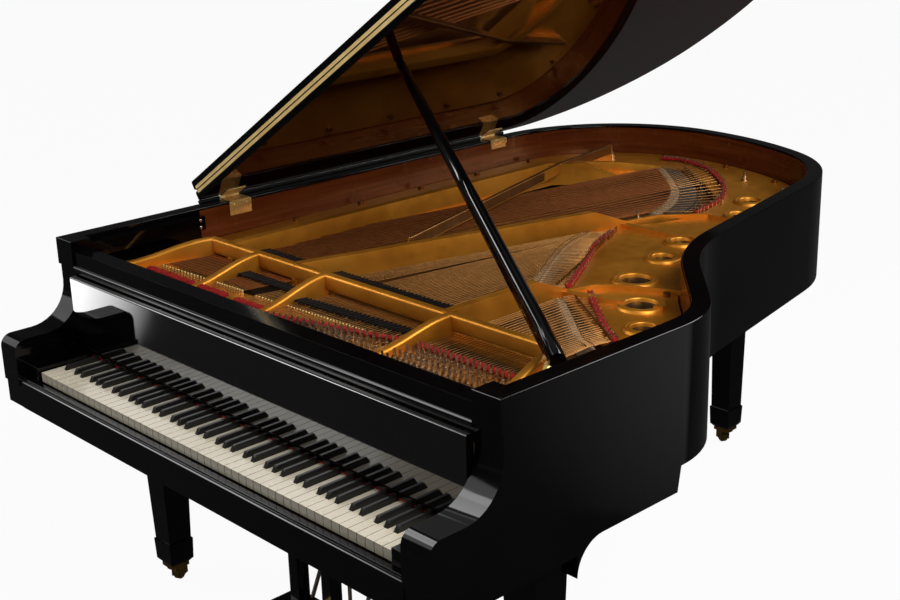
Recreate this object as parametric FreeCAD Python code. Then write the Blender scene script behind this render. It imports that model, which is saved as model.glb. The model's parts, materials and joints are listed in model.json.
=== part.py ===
import FreeCAD, Part
import math
import os

V = FreeCAD.Vector

# While it is drawn, x = 0 is the middle of the keyboard, y = 0 the key fronts and z = 0 the floor.
# Before export everything moves so that the origin is under the middle of the open piano.

# Case, seen from above: its width follows from the keyboard and what stands beside it
keyboard_width = 1225.0
key_end_gap = 5.0
key_block_width = 52.5
arm_width = 70.0
case_reach = 2112.0
shoulder_y = 639.2
tail_turn = 25.0
waist_slope = 79.0
bend_slope = 48.0
tail_corner_share = 0.2973
tail_share = 0.6081
hip_share = 0.2838
waist_share = 0.3378
shoulder_share = 0.1689

# Rim, cheeks and arms
rim_top = 960.0
rim_height = 291.0
rim_wall = 40.0
rim_round = 2.5
inner_rim_wall = 48.0
veneer_thickness = 2.0
veneer_reveal = 6.0
cheek_drop = 54.0
cheek_step = 10.0
arm_front = 141.0
arm_back = 195.0
arm_head = 65.0
arm_ledge = 6.0
arm_shelf = 757.0
scroll_radius = 95.0
nose_reach = 30.0
nose_radius = 28.0
nose_step = 5.0
nose_step_rise = 58.0

# Turns
quarter = 90.0
half_turn = 180.0

# Fits
glue_gap = 0.3
rest_gap = 0.3
running_fit = 0.05
side_gap = 1.5
overrun = 20.0

# Keybed, key slip, key blocks, front rails
keybed_bottom = 592.0
keybed_thickness = 40.0
slip_front = 27.0
slip_back = 6.0
slip_height = 74.0
slip_step = 7.0
slip_lip = 9.0
block_rise = 10.0
stretcher_front = 146.0
stretcher_depth = 44.0
stretcher_bottom = 882.0
stretcher_top = 935.0
bead_radius = 6.0
bead_rise = 13.0
side_rail_width = 26.0
side_rail_lead = 20.0
side_rail_drop = 15.0
side_rail_depth = 35.0

# Inner structure
belly_lead = 99.2
belly_thickness = 35.0
board_top = 849.0
board_thickness = 8.0
board_lap = 30.0
rib_count = 8
rib_width = 24.0
rib_depth = 20.0
rib_slope = -38.0
beam_width = 60.0
beam_depth = 62.0
tail_plate_length = 190.0
tail_plate_width = 300.0
pinblock_front = 200.0
pinblock_thickness = 38.0

# Iron frame
plate_margin = 6.0
plate_front = 205.0
web_top = 875.0
web_thickness = 12.0
web_back_left = 322.0
web_back_right = 378.0
strike_gap_back = 446.0
cross_bar_front = 450.0
bar_thickness = 16.0
frame_top = 925.0
bar_foot_rise = 10.0
bar_low_front = 255.0
strut_thickness = 18.0
strut_drop_length = 90.0
strut_tail_rise = 12.0
plate_rim_width = 18.0
brace_bottom = 898.0
brace_thickness = 11.0
sound_hole_radius = 38.0
small_hole_radius = 28.0
hole_ring_width = 13.0
hole_ring_rise = 6.0
bolt_radius = 8.0
bolt_inset = 24.0
bolt_count = 17
bolt_rise = 9.0

# Strings and what holds them
bearing_top = 884.0
single_radius = 2.2
double_radius = 1.3
plain_radius = 0.5
double_pitch = 3.8
plain_pitch = 1.6
strike_y = 402.0
agraffe_lead = 12.0
agraffe_width = 4.5
agraffe_depth = 6.0
front_felt_lead = 34.0
front_felt_width = 16.0
felt_rise = 5.0
hitch_felt_width = 14.0
bass_hitch_run = 185.0
tenor_hitch_run = 95.0
treble_hitch_run = 60.0
hitch_radius = 1.8
hitch_rise = 14.0
bass_bridge_width = 32.0
treble_bridge_width = 26.0
pin_radius = 3.2
pin_rise = 31.0
pin_sink = 28.0
pin_row_count = 6
pin_field_front = 16.0
pin_fan = 2.9
damper_front = 474.0
damper_length = 54.0
damper_height = 15.0

# Keys
white_count = 52
key_gap = 1.0
key_top = 688.0
key_depth = 22.0
key_back = 380.0
sharp_front = 48.0
sharp_back = 134.0
sharp_rise = 12.0
sharp_slope = 7.0
sharp_width = 10.5
sharp_edge = 1.8
sharp_stick_drop = 3.0

# Key frame and action
key_dip_room = 14.0
front_rail_front = 12.0
front_rail_depth = 48.0
balance_y = 225.0
balance_rail_depth = 40.0
bearing_strip = 8.0
bearing_rise = 6.0
bearing_radius = 3.0
back_rail_depth = 33.0
sill_gap = 8.0
sill_depth = 37.0
sill_height = 20.0
hammer_pivot_y = 320.0
hammer_pivot_z = 790.0
hammer_reach = 110.0
hammer_head_height = 46.0
hammer_head_depth = 20.0
hammer_width = 4.6
hammer_hub = 7.0
shank_radius = 2.2
hammer_rod_radius = 2.0
bracket_thickness = 7.0
bracket_arm_bottom = 705.0
bracket_nose = 14.0

# Fallboard
fallboard_front = 128.0
fallboard_thickness = 18.0
fallboard_bottom = 712.0
fallboard_top = 878.0
fall_pin_radius = 4.0
fall_pin_depth = 8.0
fall_pin_inset = 8.0
fall_pin_rise = 6.0
fall_felt_height = 3.0
fall_felt_depth = 9.0
fall_felt_proud = 2.0
fall_round = 4.0

# Lid, flap and hinges
lid_open = 32.5
lid_gap = 5.0
lid_thickness = 24.0
lid_round = 5.0
fold_lead = 89.2
hinge_out = 5.0
hinge_rise = 2.5
knuckle_radius = 4.0
hinge_pin_radius = 2.0
hinge_leaf = 2.0
hinge_length = 60.0
hinge_drop = 26.0
hinge_front_y = 645.0
hinge_tail_lead = 72.0
flap_leaf = 1.5
flap_leaf_height = 14.0
flap_leaf_inset = 12.0
flap_knuckle_radius = 2.2
flap_knuckle_gap = 0.4
flap_pin_radius = 1.0
flap_knuckle_count = 20

# Lid prop
prop_foot_inset = 112.0
prop_foot_y = 392.0
prop_foot_z = 946.0
prop_cup_reach = 740.0
prop_cup_y = 707.0
prop_base_width = 54.0
prop_base_depth = 32.0
prop_tip_width = 26.0
prop_tip_depth = 20.0
prop_tip_gap = 0.4
prop_stow_heading = 110.0
prop_axis_tilt = 60.0
knob_radius = 15.0
knob_depth = 25.0
pivot_radius = 5.0
pivot_depth = 20.0
post_radius = 9.0

# Legs and casters
leg_top_width = 90.0
leg_waist_width = 65.0
leg_back = 335.0
leg_inset = 51.0
leg_setback = 32.0
bracket_drop = 47.0
tail_leg_top_width = 80.0
foot_collar_width = 72.0
foot_sole_width = 68.0
foot_chamfer = 9.0
foot_height = 66.0
ferrule_height = 12.0
ferrule_width = 51.0
ferrule_margin = 1.0
wheel_radius = 20.0
wheel_width = 18.0
wheel_round = 4.0
wheel_clear = 3.0
wheel_trail = 14.0
axle_radius = 4.0
fork_wall = 4.0
fork_gap = 1.0
fork_plate = 4.0
fork_plate_radius = 24.0
fork_cheek_depth = 34.0
stem_radius = 6.0
stem_length = 34.0

# Which way each caster trails, in degrees from the back of the piano
caster_turns = {"left": 25.0, "right": -35.0, "tail": 65.0}

# Pedal lyre
lyre_y = 290.0
lyre_post_width = 33.0
lyre_post_spread = 118.0
lyre_head_height = 42.0
lyre_box_width = 300.0
lyre_box_depth = 120.0
lyre_box_height = 74.0
lyre_box_bottom = 92.0
lyre_wall = 14.0
pedal_spread_share = 0.26
pedal_width = 24.0
pedal_thickness = 10.0
pedal_toe_width = 46.0
pedal_toe_length = 72.0
pedal_reach = 190.0
pedal_tail = 40.0
pedal_axle_radius = 4.0
rod_radius = 4.5
rod_top_gap = 9.0
rod_guide_gap = 0.5
brace_rod_radius = 5.0
brace_rod_spread = 90.0
brace_rod_run = 170.0

# Places as shares of the half width and of the case reach
tail_leg_shares = (-0.162, 0.952)
hole_shares = [(0.453, 0.469), (0.615, 0.408)]
small_hole_shares = [(0.372, 0.553), (0.303, 0.618), (0.747, 0.355), (0.251, 0.758), (0.165, 0.823)]
bass_opening_shares = [
    (-0.607, 0.229), (-0.607, 0.752), (-0.466, 0.833), (-0.459, 0.900), (-0.354, 0.914),
    (-0.149, 0.871), (0.027, 0.817), (0.115, 0.758), (0.128, 0.710), (0.084, 0.663),
    (0.027, 0.630), (-0.293, 0.229),
]
tenor_opening_shares = [
    (-0.281, 0.229), (0.011, 0.588), (0.034, 0.589), (0.095, 0.544), (0.214, 0.460),
    (0.324, 0.375), (0.358, 0.372), (0.358, 0.229),
]
treble_opening_shares = [
    (0.386, 0.229), (0.386, 0.369), (0.439, 0.370), (0.588, 0.337), (0.741, 0.299), (0.765, 0.296),
    (0.765, 0.229),
]
left_corner_shares = [(-1.0, 0.080), (-0.905, 0.124), (-0.752, 0.216), (-0.752, 0.228), (-1.0, 0.228)]
bass_felt_shares = [(-0.514, 0.932), (-0.350, 0.935), (-0.131, 0.889), (0.042, 0.832), (0.132, 0.762), (0.122, 0.724)]
tenor_felt_shares = [(0.041, 0.598), (0.101, 0.555), (0.216, 0.473), (0.324, 0.386)]
treble_felt_shares = [(0.440, 0.371), (0.568, 0.344), (0.742, 0.299)]
bar_low_shares = [-0.892, -0.500, -0.151, 0.357, 0.811]
bar_high_shares = [-0.741, -0.489, -0.155, 0.393, 0.777]
bar_curve_shares = [(0.0, 0.0), (0.25, 0.10), (0.5, 0.48), (0.75, 0.88), (1.0, 1.0)]
left_strut_shares = [(-0.642, 0.213), (-0.632, 0.739), (-0.446, 0.812)]
middle_strut_shares = [(-0.302, 0.213), (0.023, 0.630)]
right_strut_shares = [(0.372, 0.213), (0.372, 0.385)]
middle_rib_shares = [(0.023, 0.625), (0.520, 0.632)]
right_rib_shares = [(0.372, 0.380), (0.690, 0.412)]
diagonal_shares = [(-0.253, 0.367), (-0.592, 0.753), (-0.657, 0.888)]
string_shares = [
    (-0.616, -0.543, (-0.290, 0.848), (-0.135, 0.800)),
    (-0.435, -0.349, (-0.115, 0.792), (0.047, 0.701)),
    (-0.292, -0.209, (0.0135, 0.563), (0.065, 0.528)),
    (-0.0865, 0.331, (0.081, 0.518), (0.324, 0.348)),
    (0.422, 0.730, (0.439, 0.348), (0.741, 0.277)),
]
note_counts = [8, 8, 12, 34, 26]
strand_counts = [1, 2, 3, 3, 3]
damped_groups = 4
sharp_offset_shares = {1: -0.09, 3: 0.09, 6: -0.13, 8: 0.0, 10: 0.13}
beam_shares = [-0.50, -0.12, 0.26]
pitch_names = ["c", "c_sharp", "d", "d_sharp", "e", "f", "f_sharp", "g", "g_sharp", "a", "a_sharp", "b"]
key_count = 88

# Derived sizes
case_width = keyboard_width + 2 * (key_end_gap + key_block_width + arm_width)
half_width = case_width / 2
tail_corner_radius = tail_corner_share * case_width
tail_radius = tail_share * case_width
hip_radius = hip_share * case_width
waist_radius = waist_share * case_width
shoulder_radius = shoulder_share * case_width
cheek_back = shoulder_y
hinge_tail_y = case_reach - tail_corner_radius - hinge_tail_lead
belly_front = shoulder_y - belly_lead
fold_y = shoulder_y - fold_lead
side_rail_back = belly_front - side_rail_lead
rim_bottom = rim_top - rim_height
cheek_bottom = rim_bottom - cheek_drop
arm_inside = half_width - arm_width
wall_inside = half_width - rim_wall
keybed_top = keybed_bottom + keybed_thickness
key_bottom = key_top - key_depth
key_pitch = keyboard_width / white_count
sharp_top = key_top + sharp_rise
board_bottom = board_top - board_thickness
web_bottom = web_top - web_thickness
pinblock_bottom = web_bottom - pinblock_thickness
belly_back = belly_front + belly_thickness
board_inset = rim_wall + glue_gap
beam_inset = board_inset + inner_rim_wall + glue_gap
plate_inset = rim_wall + plate_margin
lid_under = rim_top + lid_gap
lid_upper = lid_under + lid_thickness
hinge_x = -half_width - hinge_out
hinge_z = rim_top + hinge_rise
fold_axis_y = fold_y - flap_leaf - running_fit
fold_axis_z = lid_upper + flap_knuckle_radius + flap_knuckle_gap
fall_axis_y = fallboard_front + fall_pin_inset
fall_axis_z = fallboard_bottom + fall_pin_rise
ferrule_bottom = 2 * wheel_radius + wheel_clear + fork_plate + rest_gap
foot_bottom = ferrule_bottom + ferrule_height
foot_top = foot_bottom + foot_height
front_leg_x = half_width - leg_inset - leg_top_width / 2
front_leg_y = leg_back + leg_setback - leg_top_width / 2
lyre_box_top = lyre_box_bottom + lyre_box_height
pedal_spread = pedal_spread_share * lyre_box_width
pedal_axle_z = lyre_box_bottom + lyre_box_height / 2
cross_bar_bottom = bearing_top + 2 * single_radius + wheel_clear


def bent_runs():
    """Lengths of the two straight runs of the bent side, so that it ends at the shoulder on the right."""
    tail, waist, bend = (math.radians(turn) for turn in (tail_turn, waist_slope, bend_slope))
    across = (case_width - tail_corner_radius - tail_radius * math.sin(tail)
              - hip_radius * (math.sin(waist) - math.sin(tail))
              - waist_radius * (math.sin(waist) - math.sin(bend))
              - shoulder_radius * (1 - math.sin(bend)))
    down = (case_reach - shoulder_y - tail_radius * (1 - math.cos(tail))
            - hip_radius * (math.cos(tail) - math.cos(waist))
            - waist_radius * (math.cos(bend) - math.cos(waist))
            - shoulder_radius * math.cos(bend))
    turn = math.sin(bend - waist)
    first = (across * math.sin(bend) - down * math.cos(bend)) / turn
    second = (down * math.cos(waist) - across * math.sin(waist)) / turn
    return first, second


waist_run, bend_run = bent_runs()


# Plain solids

def block(x0, x1, y0, y1, z0, z1):
    return Part.makeBox(x1 - x0, y1 - y0, z1 - z0, V(x0, y0, z0))


def rod(start, end, radius):
    along = end - start
    return Part.makeCylinder(radius, along.Length, start, along)


def polygon_face(points):
    return Part.Face(Part.makePolygon(points + [points[0]]))


def slab(points, z0, z1):
    return polygon_face([V(x, y, z0) for x, y in points]).extrude(V(0, 0, z1 - z0))


def side_slab(points, x0, x1):
    return polygon_face([V(x0, y, z) for y, z in points]).extrude(V(x1 - x0, 0, 0))


def fused(solids):
    return solids[0].fuse(solids[1:]).removeSplitter()


def group(solids):
    return Part.makeCompound(solids)


def mirrored(shape):
    return shape.mirror(V(0, 0, 0), V(1, 0, 0))


def frustum(x, y, z0, width0, z1, width1):
    rings = []
    for z, width in ((z0, width0), (z1, width1)):
        h = width / 2
        corners = [V(x - h, y - h, z), V(x + h, y - h, z), V(x + h, y + h, z), V(x - h, y + h, z)]
        rings.append(Part.makePolygon(corners + [corners[0]]))
    return Part.makeLoft(rings, True, True)


def spot(pair):
    return pair[0] * half_width, pair[1] * case_reach


def spots(pairs):
    return [spot(pair) for pair in pairs]


# Case outline: a pen that draws tangent lines and arcs

class Pen:
    def __init__(self, x, y, heading):
        self.at = V(x, y, 0)
        self.heading = heading
        self.edges = []

    def facing(self, turn=0.0):
        angle = math.radians(self.heading + turn)
        return V(math.cos(angle), math.sin(angle), 0)

    def line(self, length):
        end = self.at + self.facing() * length
        self.edges.append(Part.LineSegment(self.at, end).toShape())
        self.at = end

    def arc(self, radius, turn):
        side = quarter if turn > 0 else -quarter
        centre = self.at + self.facing(side) * radius
        start = self.at
        middle = centre - self.facing(side + turn / 2) * radius
        end = centre - self.facing(side + turn) * radius
        self.edges.append(Part.Arc(start, middle, end).toShape())
        self.at = end
        self.heading += turn


def case_path(inset, front):
    """The outline from the left front, round the tail, to the right front."""
    pen = Pen(-half_width + inset, front, quarter)
    pen.line(case_reach - tail_corner_radius - front)
    pen.arc(tail_corner_radius - inset, -quarter)
    pen.arc(tail_radius - inset, -tail_turn)
    pen.arc(hip_radius - inset, tail_turn - waist_slope)
    pen.line(waist_run)
    pen.arc(waist_radius + inset, waist_slope - bend_slope)
    pen.line(bend_run)
    pen.arc(shoulder_radius - inset, bend_slope - quarter)
    pen.line(pen.at.y - front)
    return pen.edges


def case_face(inset, front):
    edges = case_path(inset, front)
    ends = [V(half_width - inset, front, 0), V(-half_width + inset, front, 0)]
    closing = Part.LineSegment(ends[0], ends[1]).toShape()
    return Part.Face(Part.Wire(edges + [closing]))


def case_prism(inset, front, z0, z1):
    solid = case_face(inset, front).extrude(V(0, 0, z1 - z0))
    solid.translate(V(0, 0, z0))
    return solid


def case_wall(inset, thickness, front, z0, z1):
    outside = case_prism(inset, front, z0, z1)
    return outside.cut(case_prism(inset + thickness, front - overrun, z0 - overrun, z1 + overrun))


# Rim and case work

def cheek_face(x):
    nose = -nose_reach
    shelf_end = arm_front + arm_ledge - scroll_radius
    nose_z = keybed_bottom + nose_step_rise
    drop_z = keybed_bottom - bracket_drop
    bracket_radius = cheek_bottom - drop_z
    bend = math.sqrt(0.5)
    run = [
        V(x, cheek_back, rim_bottom), V(x, cheek_back, rim_top), V(x, arm_front, rim_top),
        V(x, arm_front, rim_top - arm_head), V(x, arm_front + arm_ledge, rim_top - arm_head),
        V(x, arm_front + arm_ledge, arm_shelf + scroll_radius),
    ]
    edges = Part.makePolygon(run).Edges
    scroll_end = V(x, shelf_end, arm_shelf)
    scroll_mid = V(x, shelf_end + scroll_radius * bend, arm_shelf + scroll_radius * (1 - bend))
    edges.append(Part.Arc(run[-1], scroll_mid, scroll_end).toShape())
    nose_start = V(x, nose + nose_radius, arm_shelf)
    nose_end = V(x, nose, arm_shelf - nose_radius)
    nose_mid = V(x, nose + nose_radius * (1 - bend), arm_shelf - nose_radius * (1 - bend))
    edges.append(Part.LineSegment(scroll_end, nose_start).toShape())
    edges.append(Part.Arc(nose_start, nose_mid, nose_end).toShape())
    lower = [
        nose_end, V(x, nose, nose_z), V(x, nose + nose_step, nose_z - nose_step),
        V(x, nose + nose_step, keybed_bottom), V(x, leg_back, keybed_bottom), V(x, leg_back, drop_z),
    ]
    edges += Part.makePolygon(lower).Edges
    bracket_mid = V(x, leg_back + bracket_radius * (1 - bend), drop_z + bracket_radius * bend)
    bracket_end = V(x, leg_back + bracket_radius, cheek_bottom)
    edges.append(Part.Arc(lower[-1], bracket_mid, bracket_end).toShape())
    back = [bracket_end, V(x, cheek_back - cheek_step, cheek_bottom), run[0]]
    edges += Part.makePolygon(back).Edges
    return Part.Face(Part.Wire(edges))


def right_cheek():
    cheek = cheek_face(arm_inside).extrude(V(arm_width, 0, 0))
    hollow = block(arm_inside - overrun, wall_inside, arm_back, cheek_back + overrun,
                   keybed_bottom - bracket_drop - overrun, rim_top + overrun)
    bore = rod(V(arm_inside - overrun, fall_axis_y, fall_axis_z),
               V(arm_inside + fall_pin_depth, fall_axis_y, fall_axis_z), fall_pin_radius + running_fit)
    return cheek.cut(hollow).cut(bore)


def outer_rim():
    wall = case_wall(0, rim_wall, arm_back, rim_bottom, rim_top)
    cheek = right_cheek()
    rim = fused([wall, cheek, mirrored(cheek)])
    top_edges = [e for e in rim.Edges if e.BoundBox.ZMin > rim_top - glue_gap]
    return rim.makeFillet(rim_round, top_edges)


def inner_case():
    wall = case_wall(board_inset, inner_rim_wall, belly_back, rim_bottom, board_bottom)
    belly = block(-wall_inside, wall_inside, belly_front, belly_back - glue_gap, rim_bottom, board_bottom)
    inside = case_prism(beam_inset, belly_back, rim_bottom, rim_bottom + beam_depth)
    leg_x, leg_y = spot(tail_leg_shares)
    plate_front_y = leg_y - tail_plate_length / 2
    plate = block(leg_x - tail_plate_width / 2, leg_x + tail_plate_width / 2, plate_front_y,
                  case_reach, rim_bottom, rim_bottom + beam_depth)
    solids = [wall, belly, plate.common(inside)]
    for share in beam_shares:
        x = share * half_width
        beam = block(x - beam_width / 2, x + beam_width / 2, belly_back, plate_front_y - glue_gap,
                     rim_bottom, rim_bottom + beam_depth)
        solids.append(beam.common(inside))
    return group(solids)


def rim_veneer():
    return case_wall(board_inset, veneer_thickness, side_rail_back + glue_gap, board_top, rim_top - veneer_reveal)


def soundboard():
    board = case_prism(board_inset, belly_back - board_lap, board_bottom, board_top)
    inside = case_prism(beam_inset, belly_back, board_bottom - rib_depth, board_bottom)
    length = 2 * case_reach
    solids = [board]
    for i in range(rib_count):
        y = belly_back + (i + 1) * (case_reach - belly_back) / rib_count
        rib = block(-length / 2, length / 2, -rib_width / 2, rib_width / 2, board_bottom - rib_depth, board_bottom)
        rib.rotate(V(0, 0, 0), V(0, 0, 1), rib_slope)
        rib.translate(V(0, y, 0))
        solids += rib.common(inside).Solids
    return group(solids)


def keybed():
    front = block(-arm_inside, arm_inside, -slip_back, belly_front, keybed_bottom, keybed_top)
    back = block(-wall_inside, wall_inside, arm_back, belly_front, keybed_bottom, keybed_top)
    return fused([front, back])


def key_slip():
    top = keybed_bottom + slip_height
    profile = [
        (-slip_back, keybed_bottom), (-slip_front, keybed_bottom), (-slip_front, top - slip_lip),
        (-slip_front + slip_step / 2, top - slip_lip + slip_step / 2),
        (-slip_front + slip_step, top - slip_lip + slip_step / 2), (-slip_front + slip_step, top),
        (-slip_back, top),
    ]
    return side_slab(profile, -arm_inside, arm_inside)


def key_blocks():
    inner = arm_inside - key_block_width
    right = block(inner, arm_inside, -slip_back, fallboard_front - fall_felt_proud - rest_gap,
                  keybed_top, key_top + block_rise)
    return group([right, mirrored(right)])


def front_rails():
    bar = block(-arm_inside, arm_inside, stretcher_front, stretcher_front + stretcher_depth,
                stretcher_bottom, stretcher_top)
    bead_z = stretcher_bottom + bead_rise
    bead = rod(V(-arm_inside, stretcher_front, bead_z), V(arm_inside, stretcher_front, bead_z), bead_radius)
    rail_top = rim_top - side_rail_drop
    rail = block(wall_inside - side_rail_width, wall_inside, arm_back, side_rail_back,
                 rail_top - side_rail_depth, rail_top)
    return group([fused([bar, bead]), rail, mirrored(rail)])


# Iron frame

def web_back(x):
    share = (x + wall_inside) / (2 * wall_inside)
    return web_back_left + share * (web_back_right - web_back_left)


def pinblock():
    points = [(-wall_inside, pinblock_front), (wall_inside, pinblock_front),
              (wall_inside, web_back_right), (-wall_inside, web_back_left)]
    return slab(points, pinblock_bottom, web_bottom)


def fence(start, end, heights, thickness):
    """A plate that stands on the line from start to end; heights are (share of length, bottom, top)."""
    along = V(end[0] - start[0], end[1] - start[1], 0)
    origin = V(start[0], start[1], 0)
    lower = [origin + along * share + V(0, 0, low) for share, low, high in heights]
    upper = [origin + along * share + V(0, 0, high) for share, low, high in heights]
    across = V(-along.y, along.x, 0).normalize() * thickness
    face = polygon_face(lower + upper[::-1])
    face.translate(across * -0.5)
    return face.extrude(across)


def scroll_bar(low_share, high_share):
    start = (low_share * half_width, bar_low_front)
    end = (high_share * half_width, cross_bar_front + bar_thickness / 2)
    foot = web_top + bar_foot_rise
    heights = [(run, web_bottom, foot + rise * (frame_top - foot)) for run, rise in bar_curve_shares]
    return fence(start, end, heights, bar_thickness)


def strut(pairs):
    points = spots(pairs)
    solids = []
    last = len(points) - 2
    for i in range(last + 1):
        start, end = points[i], points[i + 1]
        if i < last:
            heights = [(0.0, web_bottom, frame_top), (1.0, web_bottom, frame_top)]
        else:
            length = math.hypot(end[0] - start[0], end[1] - start[1])
            drop_share = 1 - strut_drop_length / length
            heights = [(0.0, web_bottom, frame_top), (drop_share, web_bottom, frame_top),
                       (1.0, web_bottom, web_top + strut_tail_rise)]
        solids.append(fence(start, end, heights, strut_thickness))
    for x, y in points[1:-1]:
        solids.append(Part.makeCylinder(strut_thickness / 2, frame_top - web_bottom, V(x, y, web_bottom)))
    return solids


def low_rib(pairs, inside):
    start, end = spots(pairs)
    top = web_top + strut_tail_rise
    return fence(start, end, [(0.0, web_bottom, top), (1.0, web_bottom, top)], strut_thickness).common(inside)


def diagonal_brace():
    points = spots(diagonal_shares)
    over = [(0.0, brace_bottom, frame_top), (1.0, brace_bottom, frame_top)]
    down = [(0.0, brace_bottom, frame_top), (1.0, web_bottom, frame_top)]
    return [fence(points[0], points[1], over, brace_thickness), fence(points[1], points[2], down, brace_thickness)]


def bolt_places():
    """Seats of the bolts round the plate, evenly spaced along its edge."""
    path = Part.Wire(case_path(plate_inset + bolt_inset, belly_back))
    return [V(place.x, place.y, web_top) for place in path.discretize(bolt_count)[1:-1]]


def iron_frame():
    inside = case_prism(plate_inset, plate_front, web_bottom, frame_top)
    web = case_prism(plate_inset, plate_front, web_bottom, web_top)
    gap_left = bar_high_shares[0] * half_width + bar_thickness
    gap_right = bar_high_shares[-1] * half_width - bar_thickness / 2
    gap = [(gap_left, web_back(gap_left)), (gap_right, web_back(gap_right)), (gap_right, strike_gap_back),
           (gap_left, strike_gap_back)]
    openings = [gap] + [spots(s) for s in (bass_opening_shares, tenor_opening_shares, treble_opening_shares)]
    openings.append(spots(left_corner_shares))
    for points in openings:
        web = web.cut(slab(points, web_bottom - overrun, web_top + overrun))
    seat = case_wall(plate_inset, plate_rim_width, belly_back, board_top, web_bottom)
    bar = block(bar_high_shares[0] * half_width - bar_thickness / 2, bar_high_shares[-1] * half_width + bar_thickness / 2,
                cross_bar_front, cross_bar_front + bar_thickness, cross_bar_bottom, frame_top)
    solids = [web, seat, bar]
    solids += [scroll_bar(low, high) for low, high in zip(bar_low_shares, bar_high_shares)]
    for pairs in (left_strut_shares, middle_strut_shares, right_strut_shares):
        solids += strut(pairs)
    solids += [low_rib(middle_rib_shares, inside), low_rib(right_rib_shares, inside)]
    solids += diagonal_brace()
    holes = [(pair, sound_hole_radius) for pair in hole_shares]
    holes += [(pair, small_hole_radius) for pair in small_hole_shares]
    for pair, radius in holes:
        x, y = spot(pair)
        solids.append(Part.makeCylinder(radius + hole_ring_width, hole_ring_rise + web_thickness, V(x, y, web_bottom)))
    frame = solids[0].fuse(solids[1:])
    for pair, radius in holes:
        x, y = spot(pair)
        frame = frame.cut(Part.makeCylinder(radius, overrun + web_thickness + overrun, V(x, y, web_bottom - overrun)))
    for place in bolt_places():
        frame = frame.cut(Part.makeCylinder(bolt_radius + glue_gap, frame_top - web_top, place))
    room = case_prism(plate_inset, plate_front, board_top, frame_top)
    return frame.common(room).removeSplitter()


# Strings

def strand_list():
    """Every string as (group, note, strand, strike x, bridge point, direction)."""
    strands = []
    note = 0
    for index, (first, last, bridge_start, bridge_end) in enumerate(string_shares):
        count = note_counts[index]
        start, end = spot(bridge_start), spot(bridge_end)
        for i in range(count):
            share = i / (count - 1)
            x = (first + share * (last - first)) * half_width
            bridge = V(start[0] + share * (end[0] - start[0]), start[1] + share * (end[1] - start[1]), 0)
            along = (bridge - V(x, strike_y, 0)).normalize()
            for strand in range(strand_counts[index]):
                strands.append((index, note, strand, x, bridge, along))
            note += 1
    return strands


def gauge(index):
    return (single_radius, double_radius, plain_radius)[min(index, 2)]


def strand_shift(index, strand):
    pitch = (0, double_pitch, plain_pitch)[min(index, 2)]
    return (strand - (strand_counts[index] - 1) / 2) * pitch


def hitch_run(index):
    return (bass_hitch_run, bass_hitch_run, tenor_hitch_run, tenor_hitch_run, treble_hitch_run)[index]


def strand_ends(entry):
    index, note, strand, x, bridge, along = entry
    aside = V(along.y, -along.x, 0) * strand_shift(index, strand)
    front_y = web_back(x) - agraffe_lead - agraffe_depth / 2
    start = V(x, strike_y, 0) + along * ((front_y - strike_y) / along.y) + aside
    end = bridge + along * hitch_run(index) + aside
    return start, end


def string_solid(entry):
    radius = gauge(entry[0])
    lift = V(0, 0, bearing_top + radius + running_fit)
    start, end = strand_ends(entry)
    shorten = entry[5] * (hitch_radius + rest_gap)
    return rod(start + lift, end + lift - shorten, radius)


def bass_strings():
    return group([string_solid(entry) for entry in strand_list() if entry[0] < 2])


def plain_strings():
    return group([string_solid(entry) for entry in strand_list() if entry[0] >= 2])


def tuning_pins():
    pins = []
    for entry in strand_list():
        index, note, strand, x, bridge, along = entry
        start, end = strand_ends(entry)
        near = plate_front + pin_field_front
        far = web_back(x) - front_felt_lead - front_felt_width
        row = (2 * strand + note % 2) % pin_row_count
        y = near + (far - near) * row / (pin_row_count - 1)
        spread = (strand - (strand_counts[index] - 1) / 2) * pin_fan
        aside = x + along.x / along.y * (y - strike_y) + spread
        pins.append(Part.makeCylinder(pin_radius, pin_sink + web_thickness + pin_rise, V(aside, y, web_bottom - pin_sink)))
    return group(pins)


def agraffes():
    solids = []
    for entry in strand_list():
        index, note, strand, x, bridge, along = entry
        if strand == 0:
            y = web_back(x) - agraffe_lead
            middle = x + along.x / along.y * (y - strike_y)
            solids.append(block(middle - agraffe_width / 2, middle + agraffe_width / 2, y - agraffe_depth / 2,
                                y + agraffe_depth / 2, web_top, bearing_top))
    return group(solids)


def ribbon(points, width, z0, z1):
    """A strip of even width along a smooth curve through the points."""
    middle = Part.BSplineCurve()
    middle.interpolate([V(x, y, z0) for x, y in points])
    sides = ([], [])
    steps = 4 * len(points)
    for i in range(steps + 1):
        at = middle.FirstParameter + (middle.LastParameter - middle.FirstParameter) * i / steps
        tangent = middle.tangent(at)[0]
        across = V(-tangent.y, tangent.x, 0).normalize() * (width / 2)
        sides[0].append(middle.value(at) + across)
        sides[1].append(middle.value(at) - across)
    curves = []
    for side in sides:
        curve = Part.BSplineCurve()
        curve.interpolate(side)
        curves.append(curve.toShape())
    ends = [Part.LineSegment(sides[0][i], sides[1][i]).toShape() for i in (0, -1)]
    outline = Part.Wire(Part.__sortEdges__(curves + ends))
    return Part.Face(outline).extrude(V(0, 0, z1 - z0))


def bridges():
    rows = [spots(pair) for pair in [row[2:] for row in string_shares]]
    bass = rows[0] + rows[1]
    tenor = rows[2] + rows[3]
    treble = rows[4]
    return group([
        ribbon(bass, bass_bridge_width, board_top, bearing_top),
        ribbon(tenor, treble_bridge_width, board_top, bearing_top),
        ribbon(treble, treble_bridge_width, board_top, bearing_top),
    ])


def bar_x(bar, y):
    """Where the centre of a front bar crosses y."""
    low, high = bar_low_shares[bar] * half_width, bar_high_shares[bar] * half_width
    run = cross_bar_front + bar_thickness / 2 - bar_low_front
    return low + (high - low) * (y - bar_low_front) / run


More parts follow.
